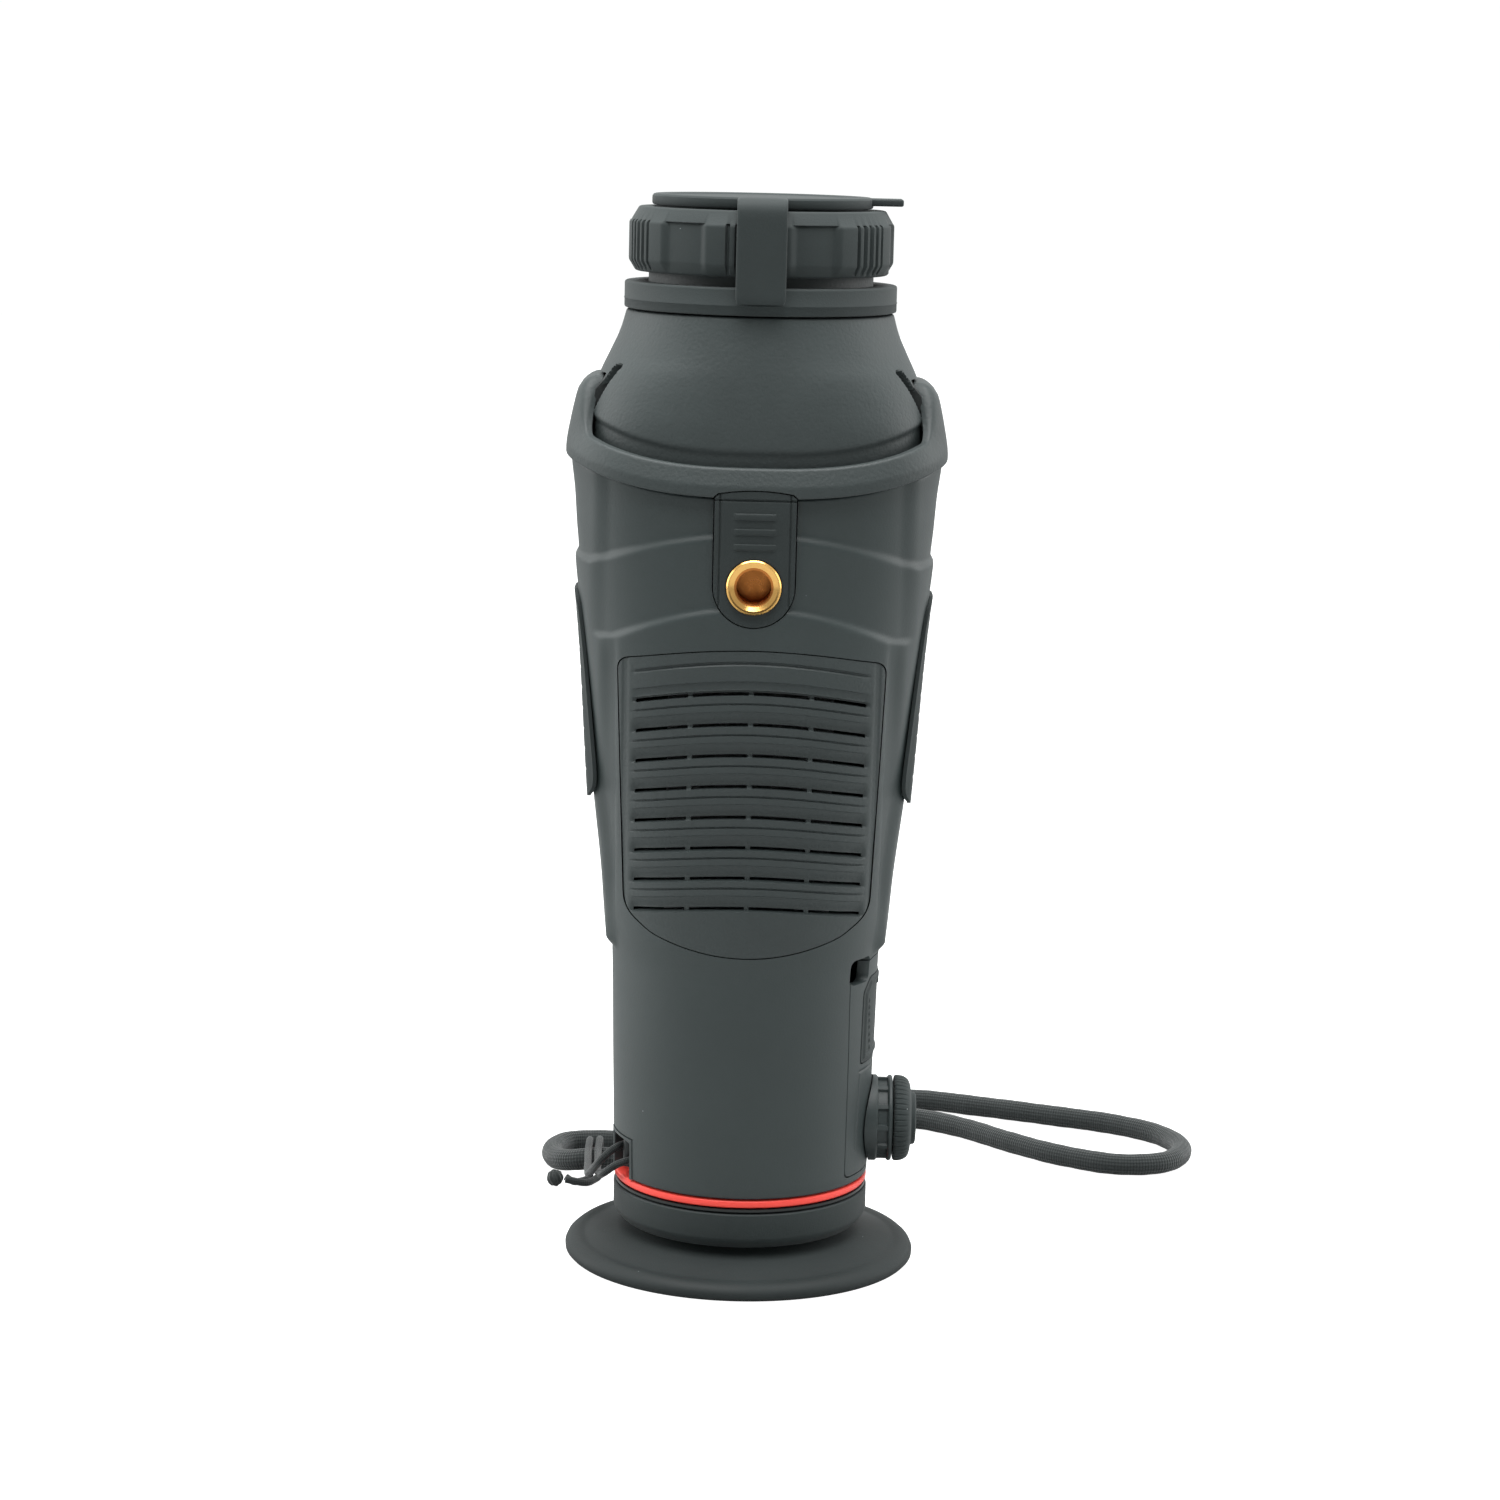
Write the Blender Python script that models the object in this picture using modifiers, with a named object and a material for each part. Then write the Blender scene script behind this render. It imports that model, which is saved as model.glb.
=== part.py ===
"""Handheld monocular with a built-in laser rangefinder, standing on its eyecup.

The optical axis is Z: the eyecup rests on z = 0 and the objective looks up +Z.
-Y is the underside with the tripod socket, +Y the top with the buttons,
+X the side with the dioptre knob and -X the side with the strap lug.
Every length here is in millimetres; MM turns it into Blender's metres.
"""

import math

import bmesh
import bpy
from mathutils import Matrix, Vector

MM = 0.001

# ---------------------------------------------------------------- driving sizes
GAP = 0.3                    # static clearance between pieces that touch
WALL = 2.4                   # moulded shell wall
EYECUP_RADIUS = 34.2
EYECUP_RIM = 2.5             # height of the eyecup's rim
EYECUP_NECK_RADIUS = 20.0
REAR_CAP_BOTTOM = 7.3
REAR_CAP_TOP = 14.3
BARREL_RADIUS = 24.8         # at the accent ring
BARREL_TOP_RADIUS = 25.9     # where the head begins
ACCENT_BOTTOM = 15.6
HOUSING_BOTTOM = 17.3
BARREL_TOP = 60.3
HEAD_BOTTOM = 64.3
HEAD_HALF_WIDTH = 35.9       # widest, at the bezel
HEAD_HALF_DEPTH = 30.5
BEZEL_SEAM = 151.3           # at the front centre
CONE_SEAM = 157.0            # at the front centre
SEAM_DROOP = 5.5             # how much higher both seams are at the sides
SHOULDER_TOP = 171.8
CONE_TOP = 184.1
CONE_TOP_RADIUS = 25.2
NECK_RADIUS = 21.2
NECK_TOP = 197.2
NECK_BORE = 18.7
BAND_RADIUS = 25.7
BAND_TOP = 189.4
RING_RADIUS = 25.1           # focus ring
RING_BOTTOM = 191.3
RING_TOP = 203.3
RING_BORE = 20.2
CAP_RADIUS = 20.8
CAP_THICKNESS = 2.1
STRAP_WIDTH = 9.2
STRAP_THICKNESS = 1.5
DIOPTRE_HEIGHT = 27.3        # knob axis above the floor
KNOB_RADIUS = 8.4
SHAFT_RADIUS = 5.0
CRANK_RADIUS = 3.2           # offset of the eccentric pin
PIN_RADIUS = 1.0
EYE_CELL_RADIUS = 16.1
EYE_CELL_BORE = 13.5
CELL_RADIUS = 18.4           # objective cell
CELL_BORE = 16.6
FOCUS_TRAVEL = 1.5           # either way
WINDOW_OFFSET = 27.4         # laser windows, from the optical axis
HOOD_HALF_DEPTH = 11.0       # the scoops that the laser windows look out of
HOOD_TOP = 174.0
HOOD_WALL = 1.2
LASER_TUBE_RADIUS = 3.7
INSERT_RADIUS = 5.05
THREAD_RADIUS = 3.175        # quarter-inch camera thread
INSERT_HEIGHT = 135.2
PLATE_TOP = 152.9
PLATE_HALF_WIDTH = 7.5
VENT_HALF_WIDTH = 24.5
SLOT_PITCH = 5.86
SLOT_COUNT = 8
BUTTON_PITCH = 14.0
BUTTON_FIRST = 76.0
BUTTON_COUNT = 4
BUTTON_SIZE = (11.0, 8.0)    # along X, along Z
BUTTON_TRAVEL = 0.8
PANEL_HALF_DEPTH = 15.3      # side panel round the knob and port
PORT_HALF_WIDTH = 11.6
PORT_BOTTOM = 41.0
PORT_TOP = 57.6
PAD_HALF_DEPTH = 9.0         # side pads
PAD_THICKNESS = 1.75
LUG_ANGLE = math.radians(199)
LUG_SIZE = (12.0, 8.0)       # round the barrel, along Z
LUG_HEIGHT = HOUSING_BOTTOM + LUG_SIZE[1] / 2
LUG_DEPTH = 4.9
BATTERY_RADIUS = 9.1
BATTERY_LENGTH = 65.0
CORD_DIAMETER = 4.5
STRING_DIAMETER = 1.5

# Outer surface: height, half width, half depth, squareness of the section.
BODY_SECTIONS = (
    (HOUSING_BOTTOM, BARREL_RADIUS, BARREL_RADIUS, 2.0),
    (BARREL_TOP, BARREL_TOP_RADIUS, BARREL_TOP_RADIUS, 2.0),
    (HEAD_BOTTOM, 28.1, 26.6, 2.3),
    (90.0, 29.8, 27.7, 2.5),
    (133.0, 33.6, 29.6, 2.7),
    (150.3, 35.1, 30.4, 2.8),
    (157.9, HEAD_HALF_WIDTH, HEAD_HALF_DEPTH, 2.8),
    (163.0, 35.2, 30.4, 2.8),
    (169.3, 33.8, 30.0, 2.8),
    (SHOULDER_TOP, 33.0, 29.8, 2.8),
)
BEZEL_WALL = 2.3
CONE_SECTIONS = (
    (140.0, 32.6, 27.9, 2.8),
    (163.0, 32.4, 27.8, 2.7),
    (172.9, 29.7, 26.9, 2.4),
    (176.3, 28.1, 26.4, 2.2),
    (180.3, 26.3, 25.7, 2.1),
    (CONE_TOP, CONE_TOP_RADIUS, CONE_TOP_RADIUS, 2.0),
)
AROUND = 32                  # sides of round pieces and points in a section

# ---------------------------------------------------------------- scene and materials
for old in list(bpy.data.objects):
    bpy.data.objects.remove(old, do_unlink=True)

MODEL = bpy.data.collections.new("laser_rangefinder")
CUTTERS = bpy.data.collections.new("cutters")
bpy.context.scene.collection.children.link(MODEL)
bpy.context.scene.collection.children.link(CUTTERS)

FINISHES = {
    "matte_plastic": ((0.052, 0.066, 0.066), 0.55, 0.0),
    "grained_plastic": ((0.060, 0.074, 0.073), 0.60, 0.0),
    "rubber": ((0.045, 0.054, 0.054), 0.80, 0.0),
    "accent_red": ((0.90, 0.09, 0.07), 0.45, 0.0),
    "brass": ((0.80, 0.52, 0.18), 0.28, 1.0),
    "aluminium": ((0.62, 0.63, 0.64), 0.40, 1.0),
    "anodised_black": ((0.030, 0.034, 0.034), 0.45, 0.6),
    "steel": ((0.45, 0.45, 0.46), 0.30, 1.0),
    "glass": ((0.10, 0.14, 0.16), 0.05, 0.0),
    "circuit": ((0.02, 0.16, 0.07), 0.50, 0.0),
    "battery_wrap": ((0.10, 0.22, 0.45), 0.40, 0.0),
    "cord": ((0.040, 0.046, 0.048), 0.90, 0.0),
}


def add_finish(obj, finish):
    """Give the object its own material."""
    colour, roughness, metallic = FINISHES[finish]
    material = bpy.data.materials.new(obj.name + "_" + finish)
    material.use_nodes = True
    shader = material.node_tree.nodes["Principled BSDF"]
    shader.inputs["Base Color"].default_value = (*colour, 1.0)
    shader.inputs["Roughness"].default_value = roughness
    shader.inputs["Metallic"].default_value = metallic
    obj.data.materials.append(material)


def add_object(name, data, finish):
    """Link new data as a sub-part, or as a cutter where finish is None."""
    obj = bpy.data.objects.new(name, data)
    if finish is None:
        CUTTERS.objects.link(obj)
        obj.hide_render = True
        obj.display_type = "WIRE"
    else:
        MODEL.objects.link(obj)
        add_finish(obj, finish)
    return obj


def mesh_object(name, points, faces, finish, origin=(0, 0, 0)):
    """A closed mesh from points in millimetres, with its origin where asked."""
    mesh = bpy.data.meshes.new(name)
    shift = Vector(origin)
    mesh.from_pydata([(Vector(p) - shift) * MM for p in points], [], faces)
    surface = bmesh.new()
    surface.from_mesh(mesh)
    bmesh.ops.recalc_face_normals(surface, faces=surface.faces)
    bmesh.ops.triangulate(surface, faces=surface.faces)
    surface.to_mesh(mesh)
    surface.free()
    obj = add_object(name, mesh, finish)
    obj.location = shift * MM
    return obj


# ---------------------------------------------------------------- shape helpers
def strip_faces(count, first, second):
    """Quads joining two rings of points that start at these indices."""
    faces = []
    for i in range(count):
        j = (i + 1) % count
        faces.append((first + i, first + j, second + j, second + i))
    return faces


def ring_tube(name, rings, finish, origin=(0, 0, 0)):
    """A closed tube: each ring joins the next, and the last joins the first."""
    count = len(rings[0])
    faces = []
    for k in range(len(rings)):
        faces += strip_faces(count, k * count, (k + 1) % len(rings) * count)
    points = [p for ring in rings for p in ring]
    return mesh_object(name, points, faces, finish, origin)


def ring_solid(name, rings, finish, origin=(0, 0, 0)):
    """A solid through rings, with a flat face at each end."""
    count = len(rings[0])
    points = [p for ring in rings for p in ring]
    faces = [tuple(range(count)), tuple(range(len(points) - count, len(points)))]
    for k in range(len(rings) - 1):
        faces += strip_faces(count, k * count, (k + 1) * count)
    return mesh_object(name, points, faces, finish, origin)


def turned(name, profile, finish, origin=(0, 0, 0), along="Z", steps=AROUND, closed=True):
    """Turn a profile of (radius, height) round Z, or round X with heights along X."""
    area = 0.0
    for (r0, h0), (r1, h1) in zip(profile, profile[1:] + profile[:1]):
        area += r0 * h1 - r1 * h0
    if area > 0:
        profile = profile[::-1]
    mesh = bpy.data.meshes.new(name)
    edges = [(i, i + 1) for i in range(len(profile) - 1)]
    if closed:
        edges.append((len(profile) - 1, 0))
    mesh.from_pydata([(r * MM, 0, h * MM) for r, h in profile], edges, [])
    obj = add_object(name, mesh, finish)
    screw = obj.modifiers.new("turn", "SCREW")
    screw.angle = math.tau
    screw.steps = steps
    screw.render_steps = steps
    screw.use_merge_vertices = True
    screw.merge_threshold = 0.00001
    obj.location = Vector(origin) * MM
    if along == "X":
        obj.rotation_euler = (0, math.pi / 2, 0)
    return obj


def tube(name, outer, inner, low, high, finish, **more):
    """A plain ring of rectangular section."""
    return turned(name, [(outer, high), (outer, low), (inner, low), (inner, high)], finish, **more)


def disc(name, radius, low, high, finish, **more):
    """A solid cylinder, closed on its axis."""
    profile = [(0, high), (radius, high), (radius, low), (0, low)]
    return turned(name, profile, finish, closed=False, **more)


def block(name, low, high, finish, turn=0.0):
    """A box between two corners, which may be turned about Z round the origin."""
    mesh = bpy.data.meshes.new(name)
    surface = bmesh.new()
    bmesh.ops.create_cube(surface, size=1.0)
    low, high = Vector(low), Vector(high)
    size = high - low
    for vertex in surface.verts:
        vertex.co = Vector(vertex.co[i] * size[i] for i in range(3)) * MM
    surface.to_mesh(mesh)
    surface.free()
    obj = add_object(name, mesh, finish)
    centre = (low + high) / 2
    obj.location = Vector((
        centre.x * math.cos(turn) - centre.y * math.sin(turn),
        centre.x * math.sin(turn) + centre.y * math.cos(turn),
        centre.z,
    )) * MM
    obj.rotation_euler = (0, 0, turn)
    return obj


def boolean(obj, other, operation="DIFFERENCE"):
    """Cut, join or keep what is common with another object."""
    modifier = obj.modifiers.new(other.name, "BOOLEAN")
    modifier.operation = operation
    modifier.object = other
    modifier.solver = "EXACT"


def section_at(sections, height):
    """Half width, half depth and squareness of the outer surface at a height."""
    if height <= sections[0][0]:
        return sections[0][1:]
    for low, high in zip(sections, sections[1:]):
        if height <= high[0]:
            share = (height - low[0]) / (high[0] - low[0])
            return tuple(a + (b - a) * share for a, b in zip(low[1:], high[1:]))
    return sections[-1][1:]


def section_ring(sections, heights, offset=0.0):
    """Points round the outer surface; heights is a function of the angle."""
    ring = []
    for i in range(AROUND):
        angle = math.tau * i / AROUND
        height = heights(angle)
        width, depth, power = section_at(sections, height)
        cosine, sine = math.cos(angle), math.sin(angle)
        x = math.copysign(abs(cosine) ** (2 / power), cosine) * (width + offset)
        y = math.copysign(abs(sine) ** (2 / power), sine) * (depth + offset)
        ring.append((x, y, height))
    return ring


def level(height):
    """The same height all round."""
    return lambda angle: height


def seam(height):
    """A seam that is lowest at the front and back and higher at the sides."""
    return lambda angle: height + SEAM_DROOP * math.cos(angle) ** 2


def surface_point(side, across, height, offset):
    """A point on the body's surface; across is X on the front and back, Y on the sides."""
    width, depth, power = section_at(BODY_SECTIONS, height)
    width += offset
    depth += offset
    if side in ("front", "back"):
        y = depth * max(0.0, 1 - (abs(across) / width) ** power) ** (1 / power)
        return (across, -y if side == "front" else y, height)
    x = width * max(0.0, 1 - (abs(across) / depth) ** power) ** (1 / power)
    return (-x if side == "left" else x, across, height)


def patch(name, side, half, low, high, inner, outer, finish, grow=0.0, counts=(8, 5),
          origin=(0, 0, 0)):
    """A curved panel that follows the body's surface between two offsets.

    low and high give the lower and upper edge for a share across from -1 to 1.
    grow widens the outline all round, for the opening that a panel sits in.
    """
    columns, rows = counts
    sheets = []
    for offset in (inner, outer):
        for i in range(columns + 1):
            share = 2 * i / columns - 1
            bottom = low(share) - grow
            top = high(share) + grow
            for j in range(rows + 1):
                height = bottom + (top - bottom) * j / rows
                sheets.append(surface_point(side, share * (half + grow), height, offset))
    back = (columns + 1) * (rows + 1)

    def index(i, j):
        return i * (rows + 1) + j

    faces = []
    for i in range(columns):
        for j in range(rows):
            quad = (index(i, j), index(i + 1, j), index(i + 1, j + 1), index(i, j + 1))
            faces.append(quad)
            faces.append(tuple(k + back for k in reversed(quad)))
    rim = [index(i, 0) for i in range(columns)] + [index(columns, j) for j in range(rows)]
    rim += [index(i, rows) for i in range(columns, 0, -1)] + [index(0, j) for j in range(rows, 0, -1)]
    for a, b in zip(rim, rim[1:] + rim[:1]):
        faces.append((a, b, b + back, a + back))
    return mesh_object(name, sheets, faces, finish, origin)


def flat(height):
    """A straight edge for a patch."""
    return lambda share: height


def arch(centre, corner):
    """A curved edge for a patch, given at its middle and at its ends."""
    return lambda share: centre + (corner - centre) * share * share


def round_end(centre, radius, sign):
    """A half-round edge for a patch as wide as the radius."""
    return lambda share: centre + sign * radius * math.sqrt(max(0.0, 1 - share * share))


def rounded_outline(half_x, half_z, corner, per_corner=2):
    """A rounded rectangle about its centre."""
    points = []
    for k, (sx, sz) in enumerate(((1, 1), (-1, 1), (-1, -1), (1, -1))):
        for i in range(per_corner + 1):
            angle = math.pi / 2 * (k + i / per_corner)
            x = sx * (half_x - corner) + corner * math.cos(angle)
            z = sz * (half_z - corner) + corner * math.sin(angle)
            points.append((x, z))
    return points


# ---------------------------------------------------------------- shells
def build_shells():
    """Main housing, bezel, cone and deck."""
    heights = [HOUSING_BOTTOM, 40.0, BARREL_TOP, HEAD_BOTTOM, 90.0, 112.0, 133.0, 143.0]
    outer = [section_ring(BODY_SECTIONS, level(h)) for h in heights]
    inner = [section_ring(BODY_SECTIONS, level(h), -WALL) for h in heights]
    outer.append(section_ring(BODY_SECTIONS, seam(BEZEL_SEAM)))
    inner.append(section_ring(BODY_SECTIONS, seam(BEZEL_SEAM), -WALL))
    housing = ring_tube("main_housing", outer + inner[::-1], "matte_plastic")

    def bezel_top(angle):
        reach = min(1.0, max(0.0, (abs(math.cos(angle)) - 0.86) / 0.12))
        rise = reach * reach * (3 - 2 * reach)
        base = CONE_SEAM + SEAM_DROOP * math.cos(angle) ** 2
        return base + (SHOULDER_TOP - base) * rise

    edges = [seam(BEZEL_SEAM + GAP)]
    for share in (0.35, 0.7, 1.0):
        def blend(angle, share=share):
            bottom = seam(BEZEL_SEAM + GAP)(angle)
            return bottom + (bezel_top(angle) - bottom) * share
        edges.append(blend)
    rings = [section_ring(BODY_SECTIONS, edge) for edge in edges]
    rings += [section_ring(BODY_SECTIONS, edge, -BEZEL_WALL) for edge in edges[::-1]]
    bezel = ring_tube("front_bezel", rings, "grained_plastic")

    heights = [163.2, 168.0, 172.9, 176.3, 180.3]
    rings = [section_ring(CONE_SECTIONS, seam(CONE_SEAM + GAP))]
    rings += [section_ring(CONE_SECTIONS, level(h)) for h in heights]
    for radius, height in ((CONE_TOP_RADIUS, CONE_TOP), (NECK_RADIUS, CONE_TOP),
                           (NECK_RADIUS, NECK_TOP), (NECK_BORE, NECK_TOP),
                           (NECK_BORE, CONE_TOP - WALL)):
        rings.append(section_ring(((0, radius, radius, 2.0),), level(height)))
    rings += [section_ring(CONE_SECTIONS, level(h), -WALL) for h in heights[::-1]]
    rings.append(section_ring(CONE_SECTIONS, seam(CONE_SEAM + GAP), -WALL))
    cone = ring_tube("lens_cone", rings, "grained_plastic")

    low, high = PLATE_TOP + 2 * GAP, PLATE_TOP + 2.8
    bore = ((0, CELL_RADIUS + 1, CELL_RADIUS + 1, 2.0),)
    rings = [section_ring(CONE_SECTIONS, level(h)) for h in (low, high)]
    rings += [section_ring(bore, level(h)) for h in (high, low)]
    deck = ring_tube("deck_plate", rings, "anodised_black")
    return housing, bezel, cone, deck


def build_laser_windows(cone, deck):
    """Two hooded windows beside the objective, with the tubes behind them."""
    floor = 159.0
    hood_low = 156.8
    half = HOOD_HALF_DEPTH
    inner_x = WINDOW_OFFSET - LASER_TUBE_RADIUS - GAP
    for side, part in ((1, "emitter"), (-1, "receiver")):
        centre = (side * WINDOW_OFFSET, 0, 0)
        spans = sorted((side * inner_x, side * HEAD_HALF_WIDTH))
        hood = block(part + "_hood", (spans[0], -half, hood_low), (spans[1], half, HOOD_TOP),
                     "matte_plastic")
        envelope = ring_solid(part + "_hood_envelope", [
            section_ring(CONE_SECTIONS, level(h), -0.05) for h in (150, 163, 168, 172.9, 176.3)
        ], None)
        boolean(hood, envelope, "INTERSECT")
        spans = sorted((side * (inner_x + HOOD_WALL), side * 60.0))
        open_half = half - HOOD_WALL
        boolean(hood, block(part + "_trough_cutter", (spans[0], -open_half, floor),
                            (spans[1], open_half, HOOD_TOP - HOOD_WALL), None))
        bore = LASER_TUBE_RADIUS - 0.2
        boolean(hood, disc(part + "_seat_cutter", bore, 150, 170, None, origin=centre, steps=24))
        spans = sorted((side * (inner_x - GAP), side * 60.0))
        boolean(cone, block(part + "_hood_cutter", (spans[0], -half - GAP, 140),
                            (spans[1], half + GAP, HOOD_TOP + GAP), None))
        boolean(deck, disc(part + "_tube_cutter", LASER_TUBE_RADIUS + GAP, 150, 158, None,
                           origin=centre, steps=24))
        disc(part + "_window", bore - GAP, 157.3, floor - GAP, "glass", origin=centre, steps=24)
        disc("laser_" + part, LASER_TUBE_RADIUS, 138.0, hood_low - GAP, "aluminium",
             origin=centre, steps=24)


def build_vent(housing):
    """Slotted panel over the heat sink, on the underside."""
    low, high = arch(64.6, 70.8), arch(123.2, 114.2)
    shape = {"side": "front", "half": VENT_HALF_WIDTH, "low": low, "high": high}
    boolean(housing, patch("vent_cutter", inner=-6, outer=3, finish=None, grow=GAP, **shape))
    panel = patch("vent_panel", inner=-WALL, outer=0, finish="matte_plastic", **shape)
    for k in range(SLOT_COUNT):
        height = 115.2 - k * SLOT_PITCH
        for j in range(4):
            centre = (j - 1.5) * 11.2
            lift = -2.8 * (centre / 22.4) ** 2
            boolean(panel, block(f"slot_cutter_{k}_{j}", (centre - 5.0, -40, height + lift - 0.35),
                                 (centre + 5.0, -15, height + lift + 0.35), None))
    half, root, tip = 15.6, -19.2, -22.0
    fins = [(half, -17.0), (-half, -17.0), (-half, root)]
    for k in range(5):
        x = -10 + 5 * k
        fins += [(x - 0.9, root), (x - 0.9, tip), (x + 0.9, tip), (x + 0.9, root)]
    fins.append((half, root))
    points = [(x, y, z) for z in (72.0, 116.0) for x, y in fins]
    count = len(fins)
    faces = [tuple(range(count)), tuple(range(2 * count - 1, count - 1, -1))]
    faces += strip_faces(count, 0, count)
    return mesh_object("heat_sink", points, faces, "aluminium")


def build_tripod_socket(housing, bezel):
    """Plate in the shell's lower edge, with a brass threaded insert."""
    low = round_end(INSERT_HEIGHT, PLATE_HALF_WIDTH, -1)
    high = arch(PLATE_TOP, PLATE_TOP - 0.8)
    shape = {"side": "front", "half": PLATE_HALF_WIDTH, "low": low, "high": high}
    cutter = patch("plate_cutter", inner=-7, outer=4, finish=None, grow=GAP, **shape)
    boolean(housing, cutter)
    boolean(bezel, cutter)
    plate = patch("tripod_plate", inner=-6, outer=0.5, finish="rubber", **shape)
    face = -surface_point("front", 0, INSERT_HEIGHT, 0)[1] + 0.8
    centre = (0, 0, INSERT_HEIGHT)
    bore = disc("insert_cutter", INSERT_RADIUS + GAP, 18, 40, None, steps=24)
    bore.location = Vector(centre) * MM
    bore.rotation_euler = (math.pi / 2, 0, 0)
    boolean(plate, bore)
    chamfer = 0.7
    profile = [(0, face - 7.6), (INSERT_RADIUS, face - 7.6), (INSERT_RADIUS, face),
               (THREAD_RADIUS + chamfer, face), (THREAD_RADIUS, face - chamfer),
               (THREAD_RADIUS, face - 6.6), (0, face - 6.6)]
    insert = turned("tripod_insert", profile, "brass", steps=24, closed=False)
    insert.location = Vector(centre) * MM
    insert.rotation_euler = (math.pi / 2, 0, 0)


def build_side_pads():
    """Soft strips on the outside of the grip."""
    for side in ("left", "right"):
        patch(side + "_side_pad", side, PAD_HALF_DEPTH, arch(90.5, 92.5), arch(131.5, 127.5),
              GAP, PAD_THICKNESS, "rubber", counts=(6, 5))


# ---------------------------------------------------------------- eyepiece end
def build_eyepiece():
    """Eyecup, rear cap, accent ring, eyepiece tube and the sliding lens cell."""
    neck = EYECUP_NECK_RADIUS
    spigot = 17.0
    turned("eyecup", [
        (spigot, REAR_CAP_TOP - 0.5), (spigot, REAR_CAP_BOTTOM - GAP), (neck, REAR_CAP_BOTTOM - GAP),
        (neck, 6.0), (EYECUP_RADIUS - 4.0, EYECUP_RIM), (EYECUP_RADIUS - 0.5, EYECUP_RIM),
        (EYECUP_RADIUS, EYECUP_RIM - 0.5), (EYECUP_RADIUS, 0), (EYECUP_RADIUS - 3.6, 0),
        (EYECUP_RADIUS - 4.6, 0.7), (neck - 1.4, 4.4), (14.8, 5.6), (14.8, REAR_CAP_TOP - 0.5),
    ], "rubber", steps=40)
    turned("rear_cap", [
        (BARREL_RADIUS, REAR_CAP_TOP), (BARREL_RADIUS, REAR_CAP_BOTTOM + 2.0),
        (BARREL_RADIUS - 1.3, REAR_CAP_BOTTOM), (spigot + GAP, REAR_CAP_BOTTOM),
        (spigot + GAP, REAR_CAP_TOP),
    ], "matte_plastic")
    barrel_outer = EYE_CELL_RADIUS + GAP + 2.0
    barrel = turned("eyepiece_barrel", [
        (barrel_outer, 42.0), (barrel_outer, ACCENT_BOTTOM - GAP), (BARREL_RADIUS, ACCENT_BOTTOM - GAP),
        (BARREL_RADIUS, REAR_CAP_TOP + GAP), (EYE_CELL_RADIUS + GAP, REAR_CAP_TOP + GAP),
        (EYE_CELL_RADIUS + GAP, 42.0),
    ], "anodised_black")
    tube("accent_ring", BARREL_RADIUS - 0.3, barrel_outer + GAP, ACCENT_BOTTOM,
         HOUSING_BOTTOM - GAP, "accent_red")

    cell_low, cell_high = 17.2, 38.0
    lip = EYE_CELL_BORE - 1.3
    cell = turned("eyepiece_cell", [
        (EYE_CELL_RADIUS, cell_high), (EYE_CELL_RADIUS, cell_low), (lip, cell_low),
        (lip, cell_low + 0.9), (EYE_CELL_BORE, cell_low + 0.9), (EYE_CELL_BORE, cell_high),
    ], "anodised_black")
    lens_radius = EYE_CELL_BORE - GAP
    turned("eye_lens", [(0, 18.4), (lens_radius, 18.4), (lens_radius, 20.4), (8, 22.2), (0, 22.8)],
           "glass", closed=False, steps=24)
    turned("field_lens", [(0, 31.6), (8, 32.0), (lens_radius, 33.4), (lens_radius, 35.4), (0, 35.4)],
           "glass", closed=False, steps=24)
    tube("eyepiece_retainer", lens_radius, lens_radius - 2.2, 35.7, 37.4, "matte_plastic", steps=24)
    pin_half = PIN_RADIUS + 0.35
    boolean(cell, block("pin_slot_cutter", (10, 0.9, DIOPTRE_HEIGHT - pin_half),
                        (20, 4.7, DIOPTRE_HEIGHT + pin_half), None))
    return barrel


def build_dioptre(barrel, panel):
    """Knob, shaft and eccentric pin that slide the eyepiece cell."""
    axis = (0, 0, DIOPTRE_HEIGHT)
    panel_face = BARREL_RADIUS + 0.3
    hub_low, hub_high = panel_face + GAP, 29.4
    inner_end = EYE_CELL_RADIUS + 1.1
    across = {"origin": axis, "along": "X"}
    bore = disc("shaft_cutter", SHAFT_RADIUS + GAP, 12, 40, None, steps=24, **across)
    boolean(barrel, bore)
    boolean(panel, bore)
    turned("diopter_base", [
        (KNOB_RADIUS, hub_high), (KNOB_RADIUS, hub_low), (SHAFT_RADIUS + GAP, hub_low),
        (SHAFT_RADIUS + GAP, hub_high),
    ], "matte_plastic", steps=24, **across)
    knob_low = hub_high + GAP
    turned("diopter_knob", [
        (0, knob_low), (KNOB_RADIUS - 0.3, knob_low), (KNOB_RADIUS, knob_low + 0.4),
        (KNOB_RADIUS - 0.4, 32.2), (KNOB_RADIUS - 1.6, 32.9), (5.4, 33.1), (5.1, 34.0), (0, 34.1),
    ], "rubber", steps=24, closed=False, **across)
    shaft = disc("diopter_shaft", SHAFT_RADIUS, inner_end, hub_high, "steel", steps=24, **across)
    pin_axis = {"origin": (0, CRANK_RADIUS, DIOPTRE_HEIGHT), "along": "X", "steps": 12}
    boolean(shaft, disc("pin_hole_cutter", PIN_RADIUS + GAP, inner_end - 2, inner_end + 2.6, None,
                        **pin_axis))
    disc("diopter_pin", PIN_RADIUS, EYE_CELL_BORE + 0.4, inner_end + 2.3, "steel", **pin_axis)


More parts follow.
